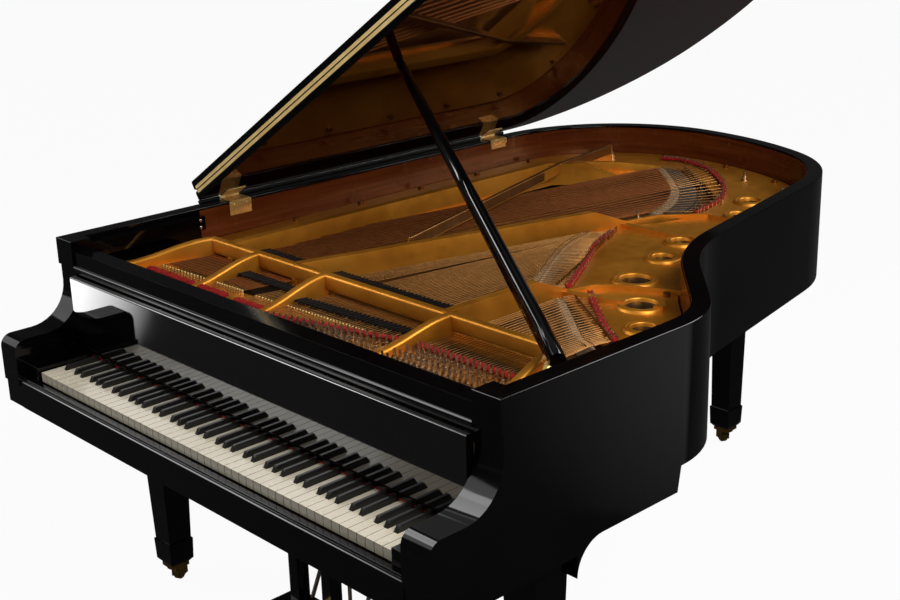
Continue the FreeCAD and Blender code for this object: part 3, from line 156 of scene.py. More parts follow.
polishedBlack = [(0.35, (0.0005, 0.0005, 0.0006)), (0.65, (0.0012, 0.0012, 0.0013))]
finishes = {
    "blackLacquer": {"stops": polishedBlack, "scale": 3.0, "rough": (0.07, 0.11), "roughScale": 7.0,
                     "bumpScale": 55.0, "bump": 0.01, "depth": 0.0003, "spec": 0.25},
    "goldBronze": {"stops": [(0.3, (0.45, 0.165, 0.011)), (0.5, (0.56, 0.222, 0.018)),
                             (0.7, (0.66, 0.280, 0.030))],
                   "scale": 5.0, "rough": (0.42, 0.52), "roughScale": 30.0, "metal": 0.85,
                   "bumpScale": 420.0, "bump": 0.10, "depth": 0.0005, "coat": 0.1, "coatRough": 0.3},
    "mahogany": {"stops": [(0.3, (0.050, 0.009, 0.002)), (0.5, (0.085, 0.017, 0.0035)),
                           (0.72, (0.125, 0.029, 0.006))],
                 "stretch": (1.1, 1.1, 34), "scale": 2.4, "twist": 0.5, "rough": (0.16, 0.3),
                 "roughScale": 20.0, "bumpScale": 160.0, "bump": 0.03, "depth": 0.0003,
                 "coat": 0.2, "spec": 0.3},
    "spruce": {"stops": [(0.3, (0.050, 0.017, 0.004)), (0.5, (0.070, 0.026, 0.006)),
                         (0.7, (0.095, 0.037, 0.009))],
               "stretch": (70, 2.2, 2.2), "turn": (0, 0, 38), "scale": 2.6, "rough": (0.3, 0.45),
               "roughScale": 25.0, "bumpScale": 120.0, "bump": 0.05, "depth": 0.0004, "coat": 0.25},
    "maple": {"stops": [(0.3, (0.16, 0.11, 0.068)), (0.7, (0.27, 0.20, 0.125))],
              "stretch": (8, 8, 60), "scale": 3.0, "rough": (0.35, 0.5), "roughScale": 40.0,
              "bumpScale": 150.0, "bump": 0.08, "depth": 0.0005},
    "caseTimber": {"stops": [(0.3, (0.075, 0.040, 0.020)), (0.7, (0.14, 0.080, 0.042))],
                   "stretch": (3, 40, 40), "scale": 2.0, "twist": 0.4, "rough": (0.45, 0.62),
                   "roughScale": 25.0, "bumpScale": 90.0, "bump": 0.12, "depth": 0.0006},
    "brassMetal": {"stops": [(0.3, (0.56, 0.345, 0.105)), (0.55, (0.68, 0.44, 0.15)),
                             (0.75, (0.76, 0.53, 0.21))],
                   "scale": 24.0, "rough": (0.24, 0.34), "roughScale": 60.0, "metal": 0.55,
                   "bumpScale": 300.0, "bump": 0.05, "depth": 0.0003},
    "stripBrass": {"stops": [(0.3, (0.70, 0.47, 0.17)), (0.55, (0.80, 0.57, 0.23)),
                             (0.75, (0.86, 0.64, 0.29))],
                   "scale": 24.0, "rough": (0.3, 0.4), "roughScale": 60.0, "metal": 0.2,
                   "bumpScale": 300.0, "bump": 0.05, "depth": 0.0003},
    "darkBrass": {"stops": [(0.3, (0.125, 0.046, 0.009)), (0.7, (0.22, 0.088, 0.020))],
                  "scale": 18.0, "rough": (0.3, 0.45), "roughScale": 50.0, "metal": 0.8,
                  "bumpScale": 260.0, "bump": 0.08, "depth": 0.0004},
    # near-black timber: painted shade for parts seen only through gaps, the hammer felts among them
    "paintedShadeTimber": {"stops": [(0.3, (0.006, 0.004, 0.003)), (0.7, (0.014, 0.009, 0.006))],
                   "stretch": (3, 40, 40), "scale": 2.0, "twist": 0.4, "rough": (0.5, 0.65),
                   "roughScale": 25.0, "bumpScale": 90.0, "bump": 0.1, "depth": 0.0005, "spec": 0.2},
    "nickel": {"stops": [(0.3, (0.40, 0.33, 0.25)), (0.7, (0.66, 0.58, 0.48))],
               "scale": 60.0, "rough": (0.2, 0.34), "roughScale": 90.0, "metal": 1.0,
               "bumpScale": 400.0, "bump": 0.08, "depth": 0.0002},
    "copperWire": {"stops": [(0.3, (0.235, 0.070, 0.017)), (0.7, (0.34, 0.115, 0.032))],
                   "stretch": (60, 5, 60), "scale": 4.0, "rough": (0.34, 0.46), "roughScale": 80.0,
                   "metal": 0.9, "bumpScale": 900.0, "bump": 0.25, "depth": 0.0004},
    "stringSteel": {"stops": [(0.3, (0.21, 0.092, 0.024)), (0.7, (0.30, 0.138, 0.040))],
                    "stretch": (80, 4, 80), "scale": 4.0, "rough": (0.3, 0.42), "roughScale": 70.0,
                    "metal": 0.95, "bumpScale": 500.0, "bump": 0.05, "depth": 0.0002},
    "redFelt": {"stops": [(0.3, (0.11, 0.004, 0.003)), (0.6, (0.24, 0.010, 0.007)),
                          (0.78, (0.36, 0.035, 0.024))],
                "scale": 190.0, "rough": (0.85, 1.0), "roughScale": 120.0,
                "bumpScale": 650.0, "bump": 0.9, "depth": 0.0012, "spec": 0.15},
    "damperBlack": {"stops": [(0.3, (0.0025, 0.0025, 0.0025)), (0.7, (0.006, 0.0055, 0.005))],
                    "scale": 60.0, "rough": (0.35, 0.5), "roughScale": 90.0,
                    "bumpScale": 200.0, "bump": 0.05, "depth": 0.0003, "spec": 0.2},
    "darkCloth": {"stops": [(0.3, (0.010, 0.009, 0.008)), (0.7, (0.024, 0.022, 0.019))],
                  "scale": 140.0, "rough": (0.7, 0.9), "roughScale": 90.0,
                  "bumpScale": 500.0, "bump": 0.5, "depth": 0.0008},
    "ebonyKey": {"stops": [(0.3, (0.0045, 0.0042, 0.0038)), (0.7, (0.0075, 0.007, 0.0065))],
                 "stretch": (8, 1, 8), "scale": 2.0, "rough": (0.26, 0.32), "roughScale": 12.0,
                 "bumpScale": 60.0, "bump": 0.01, "depth": 0.0002, "spec": 0.4},
    "fallLacquer": {"stops": polishedBlack, "scale": 3.0, "rough": (0.032, 0.045), "roughScale": 7.0,
                    "bumpScale": 30.0, "bump": 0.004, "depth": 0.0003, "spec": 1.0},
    # the fallboard's red felt painted near black, as painted shade under the fallboard's lip and behind the
    # sharps
    "paintedShadeFelt": {"stops": [(0.3, (0.010, 0.0006, 0.0006)), (0.7, (0.020, 0.001, 0.001))],
                 "scale": 190.0, "rough": (0.85, 1.0), "roughScale": 120.0,
                 "bumpScale": 650.0, "bump": 0.6, "depth": 0.0008, "spec": 0.1},
    "antiqueBrass": {"stops": [(0.3, (0.22, 0.11, 0.026)), (0.6, (0.36, 0.20, 0.055)),
                               (0.8, (0.50, 0.30, 0.10))],
                     "scale": 40.0, "rough": (0.2, 0.34), "roughScale": 60.0, "metal": 1.0,
                     "bumpScale": 300.0, "bump": 0.06, "depth": 0.0003},
}


def makeFinish(name, spec):
    mat = bpy.data.materials.new(name)
    mat.use_nodes = True
    tree = mat.node_tree
    shader = tree.nodes["Principled BSDF"]
    coords = tree.nodes.new("ShaderNodeTexCoord")
    even = coords.outputs["Object"]
    grain = stretched(tree, coords, spec.get("stretch", (1, 1, 1)), spec.get("turn", (0, 0, 0)))
    tone = noise(tree, grain, spec["scale"], "tone", spec.get("twist", 0.0))
    tree.links.new(ramp(tree, tone, spec["stops"]), shader.inputs["Base Color"])
    wear = noise(tree, even, spec["roughScale"], "wear")
    tree.links.new(spread(tree, wear, *spec["rough"]), shader.inputs["Roughness"])
    relief(tree, shader, noise(tree, grain, spec["bumpScale"], "relief"), spec["bump"], spec["depth"])
    shader.inputs["Metallic"].default_value = spec.get("metal", 0.0)
    shader.inputs["Specular IOR Level"].default_value = spec.get("spec", 0.5)
    shader.inputs["Coat Weight"].default_value = spec.get("coat", 0.0)
    shader.inputs["Coat Roughness"].default_value = spec.get("coatRough", 0.08)
    return mat, tree, shader, coords


def facing(tree, coords, way, limit):
    dot = tree.nodes.new("ShaderNodeVectorMath")
    dot.operation = "DOT_PRODUCT"
    dot.inputs[1].default_value = way
    tree.links.new(coords.outputs["Normal"], dot.inputs[0])
    return mathNode(tree, "GREATER_THAN", dot.outputs["Value"], limit)


def blended(tree, share, first, second):
    mix = tree.nodes.new("ShaderNodeMix")
    mix.data_type = "RGBA"
    tree.links.new(share, mix.inputs["Factor"])
    for socket, colour in ((mix.inputs["A"], first), (mix.inputs["B"], second)):
        if isinstance(colour, tuple):
            socket.default_value = (*colour, 1)
        else:
            tree.links.new(colour, socket)
    return mix.outputs["Result"]


paint = {name: makeFinish(name, spec)[0] for name, spec in finishes.items()}
# the lid's underside is polished brighter than the rest; its face slopes with the open lid; its reddish
# colour and the orange tint of its reflections are painted reflection of the strings and gold plate inside
lidUnder = {"way": (0.537, 0.0, -0.843), "limit": 0.9, "dull": 0.2, "bright": 0.75, "smoother": 0.7,
            "paintedReflection": (0.017, 0.0030, 0.0006), "paintedReflectionTint": (1.0, 0.62, 0.40)}
# key sticks show timber on their sides; their fronts under the ivory heads are painted greyer, a painted
# shade on the upright faces
keySidesAndShade = {"timber": (0.040, 0.026, 0.014), "front": (0.30, 0.264, 0.196), "limit": 0.8}
keyIvory = {"stops": [(0.3, (0.52, 0.462, 0.350)), (0.5, (0.55, 0.492, 0.378)), (0.7, (0.58, 0.522, 0.405))],
            "stretch": (12, 1.5, 12), "scale": 2.0, "rough": (0.2, 0.3), "roughScale": 30.0,
            "bumpScale": 200.0, "bump": 0.03, "depth": 0.0003, "coat": 0.2}


def makeLidLacquer():
    mat, tree, shader, coords = makeFinish("lidLacquer", finishes["blackLacquer"])
    below = facing(tree, coords, lidUnder["way"], lidUnder["limit"])
    gloss = tree.nodes.new("ShaderNodeMapRange")
    gloss.inputs["To Min"].default_value = lidUnder["dull"]
    gloss.inputs["To Max"].default_value = lidUnder["bright"]
    tree.links.new(below, gloss.inputs["Value"])
    tree.links.new(gloss.outputs["Result"], shader.inputs["Specular IOR Level"])
    # painted reflection: the underside's base colour and specular tint are warmed toward the copper and gold
    # inside
    colour = shader.inputs["Base Color"].links[0].from_socket
    tree.links.new(blended(tree, below, colour, lidUnder["paintedReflection"]), shader.inputs["Base Color"])
    paintedMirrorTint = blended(tree, below, (1.0, 1.0, 1.0), lidUnder["paintedReflectionTint"])
    tree.links.new(paintedMirrorTint, shader.inputs["Specular Tint"])
    keep = mathNode(tree, "SUBTRACT", 1.0, mathNode(tree, "MULTIPLY", below, lidUnder["smoother"]))
    rough = shader.inputs["Roughness"].links[0].from_socket
    tree.links.new(mathNode(tree, "MULTIPLY", rough, keep), shader.inputs["Roughness"])
    return mat


def makeKeyFinish():
    mat, tree, shader, coords = makeFinish("keyStick", keyIvory)
    colour = shader.inputs["Base Color"].links[0].from_socket
    # the front-facing tone is painted shade; the timber tones are the sticks' own wood
    for way, tone in (((0, -1, 0), "front"), ((1, 0, 0), "timber"), ((-1, 0, 0), "timber"),
                      ((0, 0, -1), "timber")):
        colour = blended(tree, facing(tree, coords, way, keySidesAndShade["limit"]), colour, keySidesAndShade[tone])
    tree.links.new(colour, shader.inputs["Base Color"])
    return mat


paint["lidLacquer"] = makeLidLacquer()
paint["keyStick"] = makeKeyFinish()
slotFinish = {
    "black_polish": "blackLacquer", "case_timber": "caseTimber", "mahogany": "mahogany", "spruce": "spruce",
    "maple": "maple", "gold_casting": "goldBronze", "nickel": "nickel", "brass_metal": "brassMetal",
    "copper_wire": "copperWire", "string_steel": "stringSteel", "red_felt": "redFelt",
    "damper_timber": "damperBlack", "hammer_felt": "paintedShadeTimber", "ivory_key": "keyStick",
    "ebony": "ebonyKey",
}
slotOf = {row["node"]: row["material_slot"] for row in frame["record"]["subparts"]}
# the pinblock, key frame, action frame and hammer felts are painted near black, as the shade they sit in
nodeFinish = {"pinblock": "paintedShadeTimber", "key_frame": "paintedShadeTimber", "frame_fasteners": "darkBrass",
              "lid_main": "lidLacquer", "action_frame": "paintedShadeTimber",
              "fallboard": "fallLacquer", "lyre_rods": "nickel", "caster_ferrules": "antiqueBrass"}
for name in nodes:
    if "_caster_" in name:
        nodeFinish[name] = "antiqueBrass"
    if name.endswith("_pedal_rod"):
        nodeFinish[name] = "nickel"
for name, obj in nodes.items():
    obj.data.materials.clear()
    obj.data.materials.append(paint[nodeFinish.get(name, slotFinish[slotOf[name]])])
print("stage: finishes")

# softened edges on the carried-over solids, so they catch the light: width in metres, and steps
softEdges = {
    "iron_frame": (0.0035, 3), "outer_rim": (0.0012, 2), "keybed": (0.001, 2), "key_slip": (0.0015, 3),
    "key_blocks": (0.0015, 3), "front_rails": (0.0016, 3), "fallboard": (0.001, 2), "lyre_frame": (0.002, 3),
    "caster_ferrules": (0.0015, 3), "case_hardware": (0.0006, 2),
}
softening = {"weld": 0.00002, "angle": 38, "weight": 90}
for name in nodes:
    if name.endswith(("_leg", "_pedal", "_caster_fork")):
        softEdges[name] = (0.0018, 3)
    if name.startswith("keys_"):
        softEdges[name] = (0.0022, 3) if slotOf[name] == "ebony" else (0.0006, 2)


def softenEdges(obj, width, segments):
    weld = obj.modifiers.new("weld", "WELD")
    weld.merge_threshold = softening["weld"]
    bevel = obj.modifiers.new("edges", "BEVEL")
    bevel.width = width
    bevel.segments = segments
    bevel.limit_method = "ANGLE"
    bevel.angle_limit = math.radians(softening["angle"])
    level = obj.modifiers.new("level", "WEIGHTED_NORMAL")
    level.weight = softening["weight"]


for name, (width, segments) in softEdges.items():
    softenEdges(nodes[name], width, segments)
print("stage: soft edges")

# modelling helpers: a piece is opened as an empty mesh, shaped in edit mode, and closed with its finish
tolerance = {"doubles": 0.000002, "level": 0.00001}  # metres


def pickNothing():
    bpy.ops.mesh.select_all(action="DESELECT")


def openPiece(name):
    bpy.ops.object.select_all(action="DESELECT")
    bpy.ops.mesh.primitive_plane_add(size=0.01, location=(0, 0, 0))
    obj = bpy.context.active_object
    obj.name = name
    bpy.ops.object.mode_set(mode="EDIT")
    bpy.ops.mesh.select_all(action="SELECT")
    bpy.ops.mesh.delete(type="VERT")
    return obj


def closePiece(obj, finish, body, angle=40, bevel=None, place=None):
    bpy.ops.mesh.select_all(action="SELECT")
    bpy.ops.mesh.remove_doubles(threshold=tolerance["doubles"])
    bpy.ops.mesh.normals_make_consistent(inside=False)
    bpy.ops.object.mode_set(mode="OBJECT")
    if place is not None:
        obj.matrix_world = place
        bpy.ops.object.transform_apply(location=True, rotation=True, scale=True)
    if bevel:
        rounding = obj.modifiers.new("rounding", "BEVEL")
        rounding.width = bevel[0] / 1000
        rounding.segments = bevel[1]
        rounding.limit_method = "ANGLE"
        rounding.angle_limit = math.radians(angle)
        bpy.ops.object.modifier_apply(modifier=rounding.name)
    bpy.ops.object.shade_smooth_by_angle(angle=math.radians(angle))
    obj.data.materials.append(paint[finish])
    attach(obj, body)
    return obj


def wire(points, radius, sides, lie=(math.pi / 2, 0, 0)):
    pickNothing()
    bpy.ops.mesh.primitive_circle_add(vertices=sides, radius=radius / 1000, fill_type="NGON",
                                      location=points[0], rotation=lie)
    for here, there in zip(points, points[1:]):
        bpy.ops.mesh.extrude_region_move(TRANSFORM_OT_translate={"value": there - here})


def lathe(centre, profile, sides, capped=True):
    pickNothing()
    radius, level = profile[0]
    spot = centre + Vector((0, 0, level / 1000))
    bpy.ops.mesh.primitive_circle_add(vertices=sides, radius=radius / 1000, location=spot,
                                      fill_type="NGON" if capped else "NOTHING")
    for nextRadius, nextLevel in profile[1:]:
        step = Vector((0, 0, (nextLevel - level) / 1000))
        spot = spot + step
        bpy.ops.mesh.extrude_region_move(TRANSFORM_OT_translate={"value": step})
        swell = nextRadius / radius
        bpy.ops.transform.resize(value=(swell, swell, 1), center_override=spot)
        radius, level = nextRadius, nextLevel
    bpy.ops.mesh.select_linked()


def bar(points, tops, floor, width, runs="back"):
    x, y = points[0]
    middle = at(x, y, (tops[0] + floor) / 2)
    height = (tops[0] - floor) / 1000
    turn = (math.pi / 2, 0, 0 if runs == "back" else math.pi / 2)
    size = (width / 1000, 1, height) if runs == "back" else (1, width / 1000, height)
    pickNothing()
    bpy.ops.mesh.primitive_plane_add(size=1, location=middle, rotation=turn)
    bpy.ops.transform.resize(value=size, center_override=middle)
    for i in range(1, len(points)):
        step = at(*points[i], floor) - at(*points[i - 1], floor)
        bpy.ops.mesh.extrude_region_move(TRANSFORM_OT_translate={"value": step})
        lift = (tops[i] - floor) / (tops[i - 1] - floor)
        bpy.ops.transform.resize(value=(1, 1, lift), center_override=at(*points[i], floor))


def block(low, high):
    middle = (low + high) / 2
    pickNothing()
    bpy.ops.mesh.primitive_cube_add(size=1, location=middle)
    bpy.ops.transform.resize(value=high - low, center_override=middle)


def lump(place, size):
    pickNothing()
    bpy.ops.mesh.primitive_cube_add(size=1, location=place)
    bpy.ops.mesh.subdivide(number_cuts=1, smoothness=0.9)
    bpy.ops.transform.resize(value=Vector(size) / 1000, center_override=place)


def repeatTo(places):
    for here, there in zip(places, places[1:]):
        bpy.ops.mesh.duplicate_move(TRANSFORM_OT_translate={"value": there - here})


def along(points, share):
    spans = len(points) - 1
    step = min(int(share * spans), spans - 1)
    t = share * spans - step
    a, b, c, d = (Vector(points[max(0, min(spans, step + k))]) for k in (-1, 0, 1, 2))
    curve = 2 * b + (c - a) * t + (2 * a - 5 * b + 4 * c - d) * t ** 2
    return 0.5 * (curve + (3 * b - a - 3 * c + d) * t ** 3)


def between(low, high, share):
    return low + (high - low) * share


def shares(steps):
    return [i / steps for i in range(steps + 1)]


# plate bars: rounded ribs over the casting's plain ones
plate = {"webTop": 915, "foot": 926, "top": 967.5, "floor": 905, "front": 252, "cross": 458, "thick": 22,
         "lowX": (-660, -370, -112, 264, 600), "highX": (-548, -362, -115, 291, 575), "steps": 14,
         "crossFloor": 931.6, "strutThick": 24, "angle": 35, "edge": (6.5, 4)}


def makeBars():
    piece = openPiece("plateBars")
    for low, high in zip(plate["lowX"], plate["highX"]):
        run = shares(plate["steps"])
        swing = [0.5 - 0.5 * math.cos(math.pi * s) for s in run]
        points = [(between(low, high, s), between(plate["front"], plate["cross"], s)) for s in run]
        bar(points, [between(plate["foot"], plate["top"], w) for w in swing], plate["floor"], plate["thick"])
    half = plate["thick"] / 2
    ends = [(plate["highX"][0] - half, plate["cross"]), (plate["highX"][-1] + half, plate["cross"])]
    bar(ends, [plate["top"]] * 2, plate["crossFloor"], plate["thick"], "sideways")
    closePiece(piece, "goldBronze", "case", plate["angle"], plate["edge"])


struts = {"long": [(-475, 452), (-468, 1561), (-430, 1680), (-385, 1780), (-340, 1850), (-316, 1900)],
          "longTops": [967.5, 967.5, 957, 945, 932, 920],
          "middle": [(-223.5, 452), (-9, 1238), (17, 1330)], "middleTops": [967.5, 967.5, 929.5],
          "short": [(275, 452), (275, 722), (275, 813)], "shortTops": [967.5, 967.5, 929.5],
          "middleRib": [(14, 1328), (40, 1440), (128, 1532), (230, 1530)],
          "shortRib": [(277, 800), (300, 880), (338, 914), (482, 984)], "ribTop": 927,
          "brace": [(-187, 775), (-438, 1590), (-486, 1875)], "braceFloor": 937.5, "braceThick": 11.5,
          "braceEdge": (3, 3)}


def makeStruts():
    piece = openPiece("plateStruts")
    for name in ("long", "middle", "short"):
        bar(struts[name], struts[name + "Tops"], plate["floor"], plate["strutThick"])
    for name in ("middleRib", "shortRib"):
        tops = [struts["ribTop"]] * len(struts[name])
        bar(struts[name], tops, plate["floor"], plate["strutThick"] / 2)
    closePiece(piece, "goldBronze", "case", plate["angle"], plate["edge"])
    # the brace is given the dark brass, darker than the plate's gold
    brace = openPiece("plateBrace")
    tops = [plate["top"]] * len(struts["brace"])
    bar(struts["brace"], tops, struts["braceFloor"], struts["braceThick"])
    closePiece(brace, "darkBrass", "case", plate["angle"], struts["braceEdge"])


soundHoles = {"large": 38, "small": 28, "sides": 40,
              "places": [(335, 990.5, "large"), (455, 862, "large"), (275, 1168, "small"),
                         (224, 1305, "small"), (553, 750, "small"), (186, 1601, "small"),
                         (122, 1738, "small")],
              "ring": [(17.5, 914.5), (15.5, 919.5), (13.0, 922.3), (10.0, 922.8), (8.0, 921.4),
                       (4.0, 921.2), (2.2, 922.6), (0.4, 922.4), (-1.0, 920.0), (-1.2, 902.8)],
              # a black disc sunk in each hole is painted shade, so the hole reads dark
              "cloth": [(-1.4, 898), (-1.3, 913)]}


def makeRings():
    # the rings, then black discs of painted shade inside the holes
    for name, edge, capped, finish, angle in (("soundHoleRings", "ring", False, "goldBronze", 60),
                                              ("soundHoleCloth", "cloth", True, "damperBlack", 40)):
        piece = openPiece(name)
        for x, y, size in soundHoles["places"]:
            profile = [(soundHoles[size] + out, z) for out, z in soundHoles[edge]]
            lathe(at(x, y, 0), profile, soundHoles["sides"], capped)
        closePiece(piece, finish, "case", angle)


makeBars()
makeStruts()
makeRings()
print("stage: plate ribs and rings")

# strings: each runs from its pin over the web, across the bridge and down to its hitch pin
bridgeLines = {"bass": [(-289, 1870), (-175, 1771), (-80, 1670), (-14, 1555), (11, 1456)],
               "tenor": [(8, 1196), (43, 1074), (132, 912), (242, 735)],
               "treble": [(306, 764), (400, 688), (499, 609), (552, 583)]}
hitchLines = {"bass": [(-372, 1990), (-306, 2004), (-182, 1961), (-34, 1830), (53, 1697), (85, 1547)],
              "tenor": [(45, 1253), (90, 1138), (177, 994), (258, 850)],
              "treble": [(324, 846), (415, 765), (502, 691), (560, 650)]}
stringFields = {
    "bassSingles": {"line": "bass", "count": 15, "pins": 16, "rows": 2, "radius": 2.3, "core": 0.9,
                    "front": (-556, -384), "bridge": (0.0, 0.42), "hitch": (0.12, 0.52), "pinFront": 208},
    "bassPairs": {"line": "bass", "count": 11, "pins": 20, "rows": 3, "radius": 2.0, "core": 0.9,
                  "front": (-346, -254), "bridge": (0.45, 1.0), "hitch": (0.55, 1.0), "pinFront": 204},
    "lowTenor": {"line": "tenor", "count": 8, "pins": 18, "rows": 3, "core": 1.25,
                 "front": (-204, -130), "bridge": (0.0, 0.2), "hitch": (0.0, 0.2), "pinFront": 204},
    "tenor": {"line": "tenor", "count": 36, "pins": 115, "rows": 5, "core": 1.25,
              "front": (-94, 251), "bridge": (0.22, 1.0), "hitch": (0.22, 1.0), "pinFront": 208},
    "treble": {"line": "treble", "count": 27, "pins": 85, "rows": 5, "core": 1.1,
               "front": (305, 564), "bridge": (0.0, 1.0), "hitch": (0.0, 1.0), "pinFront": 226},
}
bearing = {"top": 924, "pinTop": 922, "hitch": 921, "agraffeBack": 12, "windingGap": 16, "feltGap": 16,
           "pinStep": 14, "fewRows": 3, "coreSides": 4, "windingSides": 5}
# where the red cloth crosses the strings: a level line in the bass, a slant through the tenor, level again
clothLine = {"bass": 279, "slant": (-70, 260, 250, 350), "treble": 358, "before": 30, "after": 20}
webEdge = {"left": -700, "width": 1400, "y": 322, "slant": 56}  # back of the pin field


def webBack(x):
    return webEdge["y"] + (x - webEdge["left"]) / webEdge["width"] * webEdge["slant"]


def clothY(x):
    x0, y0, x1, y1 = clothLine["slant"]
    if x < x0 - clothLine["before"]:
        return clothLine["bass"]
    if x > x1 + clothLine["after"]:
        return clothLine["treble"]
    return between(y0, y1, min(1, max(0, (x - x0) / (x1 - x0))))


def pinPlace(field, i, count):
    x = between(*field["front"], i / (count - 1))
    steps = field["rows"] - 1
    last = field["pinFront"] + bearing["pinStep"] * steps
    if field["rows"] > bearing["fewRows"]:
        last = clothY(x) - bearing["feltGap"]
    return (x, between(field["pinFront"], last, (i % field["rows"]) / steps))


def stringRun(field, i):
    share = i / (field["count"] - 1)
    x, y = pinPlace(field, i, field["count"])
    level = bearing["top"] + field.get("radius", field["core"])
    over = along(bridgeLines[field["line"]], between(*field["bridge"], share))
    end = along(hitchLines[field["line"]], between(*field["hitch"], share))
    return [at(x, y, bearing["pinTop"]), at(x, webBack(x) - bearing["agraffeBack"], level),
            at(over.x, over.y, level), at(end.x, end.y, bearing["hitch"])]


def makeStrings():
    cores = openPiece("steelStrings")
    for field in stringFields.values():
        for i in range(field["count"]):
            wire(stringRun(field, i), field["core"], bearing["coreSides"])
    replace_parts(closePiece(cores, "stringSteel", "case", angle=60), "plain_strings")
    windings = openPiece("copperWindings")
    for field in stringFields.values():
        if "radius" in field:
            for i in range(field["count"]):
                start, end = stringRun(field, i)[1:3]
                inset = (end - start).normalized() * bearing["windingGap"] / 1000
                wire([start + inset, end - inset], field["radius"], bearing["windingSides"])
    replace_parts(closePiece(windings, "copperWire", "case", angle=60), "bass_strings")


tuningPin = {"sides": 7, "profile": [(4.6, 915), (4.6, 919.5), (4.1, 920.2), (4.6, 925), (3.2, 925.6),
                                     (3.1, 937), (2.3, 944)]}


def makePins():
    piece = openPiece("coiledPins")
    places = []
    for field in stringFields.values():
        places += [at(*pinPlace(field, i, field["pins"]), 0) for i in range(field["pins"])]
    lathe(places[0], tuningPin["profile"], tuningPin["sides"])
    repeatTo(places)
    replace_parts(closePiece(piece, "nickel", "case", angle=50), "tuning_pins")


agraffe = {"half": (2.4, 2.0), "sunk": 0.5, "above": 1.2, "edge": (0.8, 1)}


def makeAgraffes():
    piece = openPiece("agraffeRow")
    wide, deep = agraffe["half"]
    for field in stringFields.values():
        for i in range(field["count"]):
            x = pinPlace(field, i, field["count"])[0]
            y = webBack(x) - bearing["agraffeBack"]
            level = bearing["top"] + field.get("radius", 0) + field["core"] + agraffe["above"]
            block(at(x - wide, y - deep, plate["webTop"] - agraffe["sunk"]), at(x + wide, y + deep, level))
    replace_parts(closePiece(piece, "brassMetal", "case", bevel=agraffe["edge"]), "agraffes")


makeStrings()
makePins()
makeAgraffes()
print("stage: strings and pins")

# bridges, the dark cloth at the tail and the woven red cloth at the pins
bridgeRail = {"width": 30, "floor": 890, "steps": 20, "edge": (1.5, 2), "pin": [(1.1, 921), (1.1, 929)],
              "pinShift": 7, "pinSlant": 0.5, "pinSides": 4}


def curvedBar(line, spec, top):
    points = [tuple(along(line, s)) for s in shares(spec["steps"])]
    bar(points, [top] * len(points), spec["floor"], spec["width"])


def makeBridges():
    piece = openPiece("bridgeRails")
    for line in bridgeLines.values():
        curvedBar(line, bridgeRail, bearing["top"])
    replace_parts(closePiece(piece, "maple", "case", bevel=bridgeRail["edge"]), "bridges")
    pins = openPiece("bridgePins")
    for name, line in bridgeLines.items():
        places = []
        for field in (f for f in stringFields.values() if f["line"] == name):
            for share in shares(field["count"] - 1):
                spot = along(line, between(*field["bridge"], share))
                for shift in (-bridgeRail["pinShift"], bridgeRail["pinShift"]):
                    places.append(at(spot.x + shift * bridgeRail["pinSlant"], spot.y + shift, 0))
        lathe(places[0], bridgeRail["pin"], bridgeRail["pinSides"])
        repeatTo(places)
    closePiece(pins, "nickel", "case", angle=30)


braid = {"lump": (6.5, 13.0, 6.5), "least": 8, "overhang": 4, "heights": 3,
         "atPins": {"level": 927.0, "crowd": 1.25, "sway": (0, 1.5), "climb": 0.8},
         "atHitch": {"level": 920.5, "crowd": 1.2, "sway": (1.2, 0), "climb": 0.7}}
hitchPin = {"profile": [(2.1, 916), (2.1, 928), (1.2, 930)], "sides": 6, "pitch": 10, "sway": (4, 3)}


def lineLength(line):
    return sum((Vector(b) - Vector(a)).length for a, b in zip(line, line[1:]))


def layBraid(weave, spots):
    aside, back = weave["sway"]
    places = []
    for i, (x, y) in enumerate(spots):
        side = (-1) ** i
        level = weave["level"] + weave["climb"] * (i % braid["heights"])
        places.append(at(x + aside * side, y + back * side, level))
    lump(places[0], braid["lump"])
    repeatTo(places)


def makeBraids():
    piece = openPiece("wovenCloth")
    weave = braid["atPins"]
    for field in stringFields.values():
        low, high = field["front"]
        count = max(braid["least"], int((high - low) / braid["lump"][0] * weave["crowd"]))
        run = [between(low - braid["overhang"], high + braid["overhang"], share) for share in shares(count)]
        layBraid(weave, [(x, clothY(x)) for x in run])
    weave = braid["atHitch"]
    for line in hitchLines.values():
        count = int(lineLength(line) / braid["lump"][0] * weave["crowd"])
        layBraid(weave, [along(line, share) for share in shares(count)])
    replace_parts(closePiece(piece, "redFelt", "case", angle=80), "string_felts")
    pins = openPiece("hitchPins")
    aside, back = hitchPin["sway"]
    for line in hitchLines.values():
        places = []
        for i, share in enumerate(shares(int(lineLength(line) / hitchPin["pitch"]))):
            spot, side = along(line, share), (-1) ** i
            places.append(at(spot.x + aside * side, spot.y + back * side, 0))
        lathe(places[0], hitchPin["profile"], hitchPin["sides"])
        repeatTo(places)
    closePiece(pins, "nickel", "case")


tailCloth = {"line": [(-272, 1901), (-155, 1805), (-60, 1702), (8, 1588), (37, 1491)], "width": 62,
             "steps": 18, "floor": 914.5, "top": 918.6, "edge": (1.2, 2), "finish": "darkCloth"}
duplexRail = {"line": [(-250, 1936), (-132, 1840), (-37, 1736), (32, 1622), (66, 1526)], "width": 9,
              "steps": 18, "floor": 914.5, "top": 923.4, "edge": (1.5, 2), "finish": "nickel"}


def makeTailCloth():
    for name, spec in (("tailCloth", tailCloth), ("duplexRail", duplexRail)):
        piece = openPiece(name)
        curvedBar(spec["line"], spec, spec["top"])
        closePiece(piece, spec["finish"], "case", bevel=spec["edge"])


makeBridges()
makeBraids()
makeTailCloth()
print("stage: bridges and cloth")

# damper heads, a short row before the cross bar and a long one behind it
damperHeads = {"pitch": 13, "floor": 929.2, "slope": 0.2, "edge": (1.1, 2)}
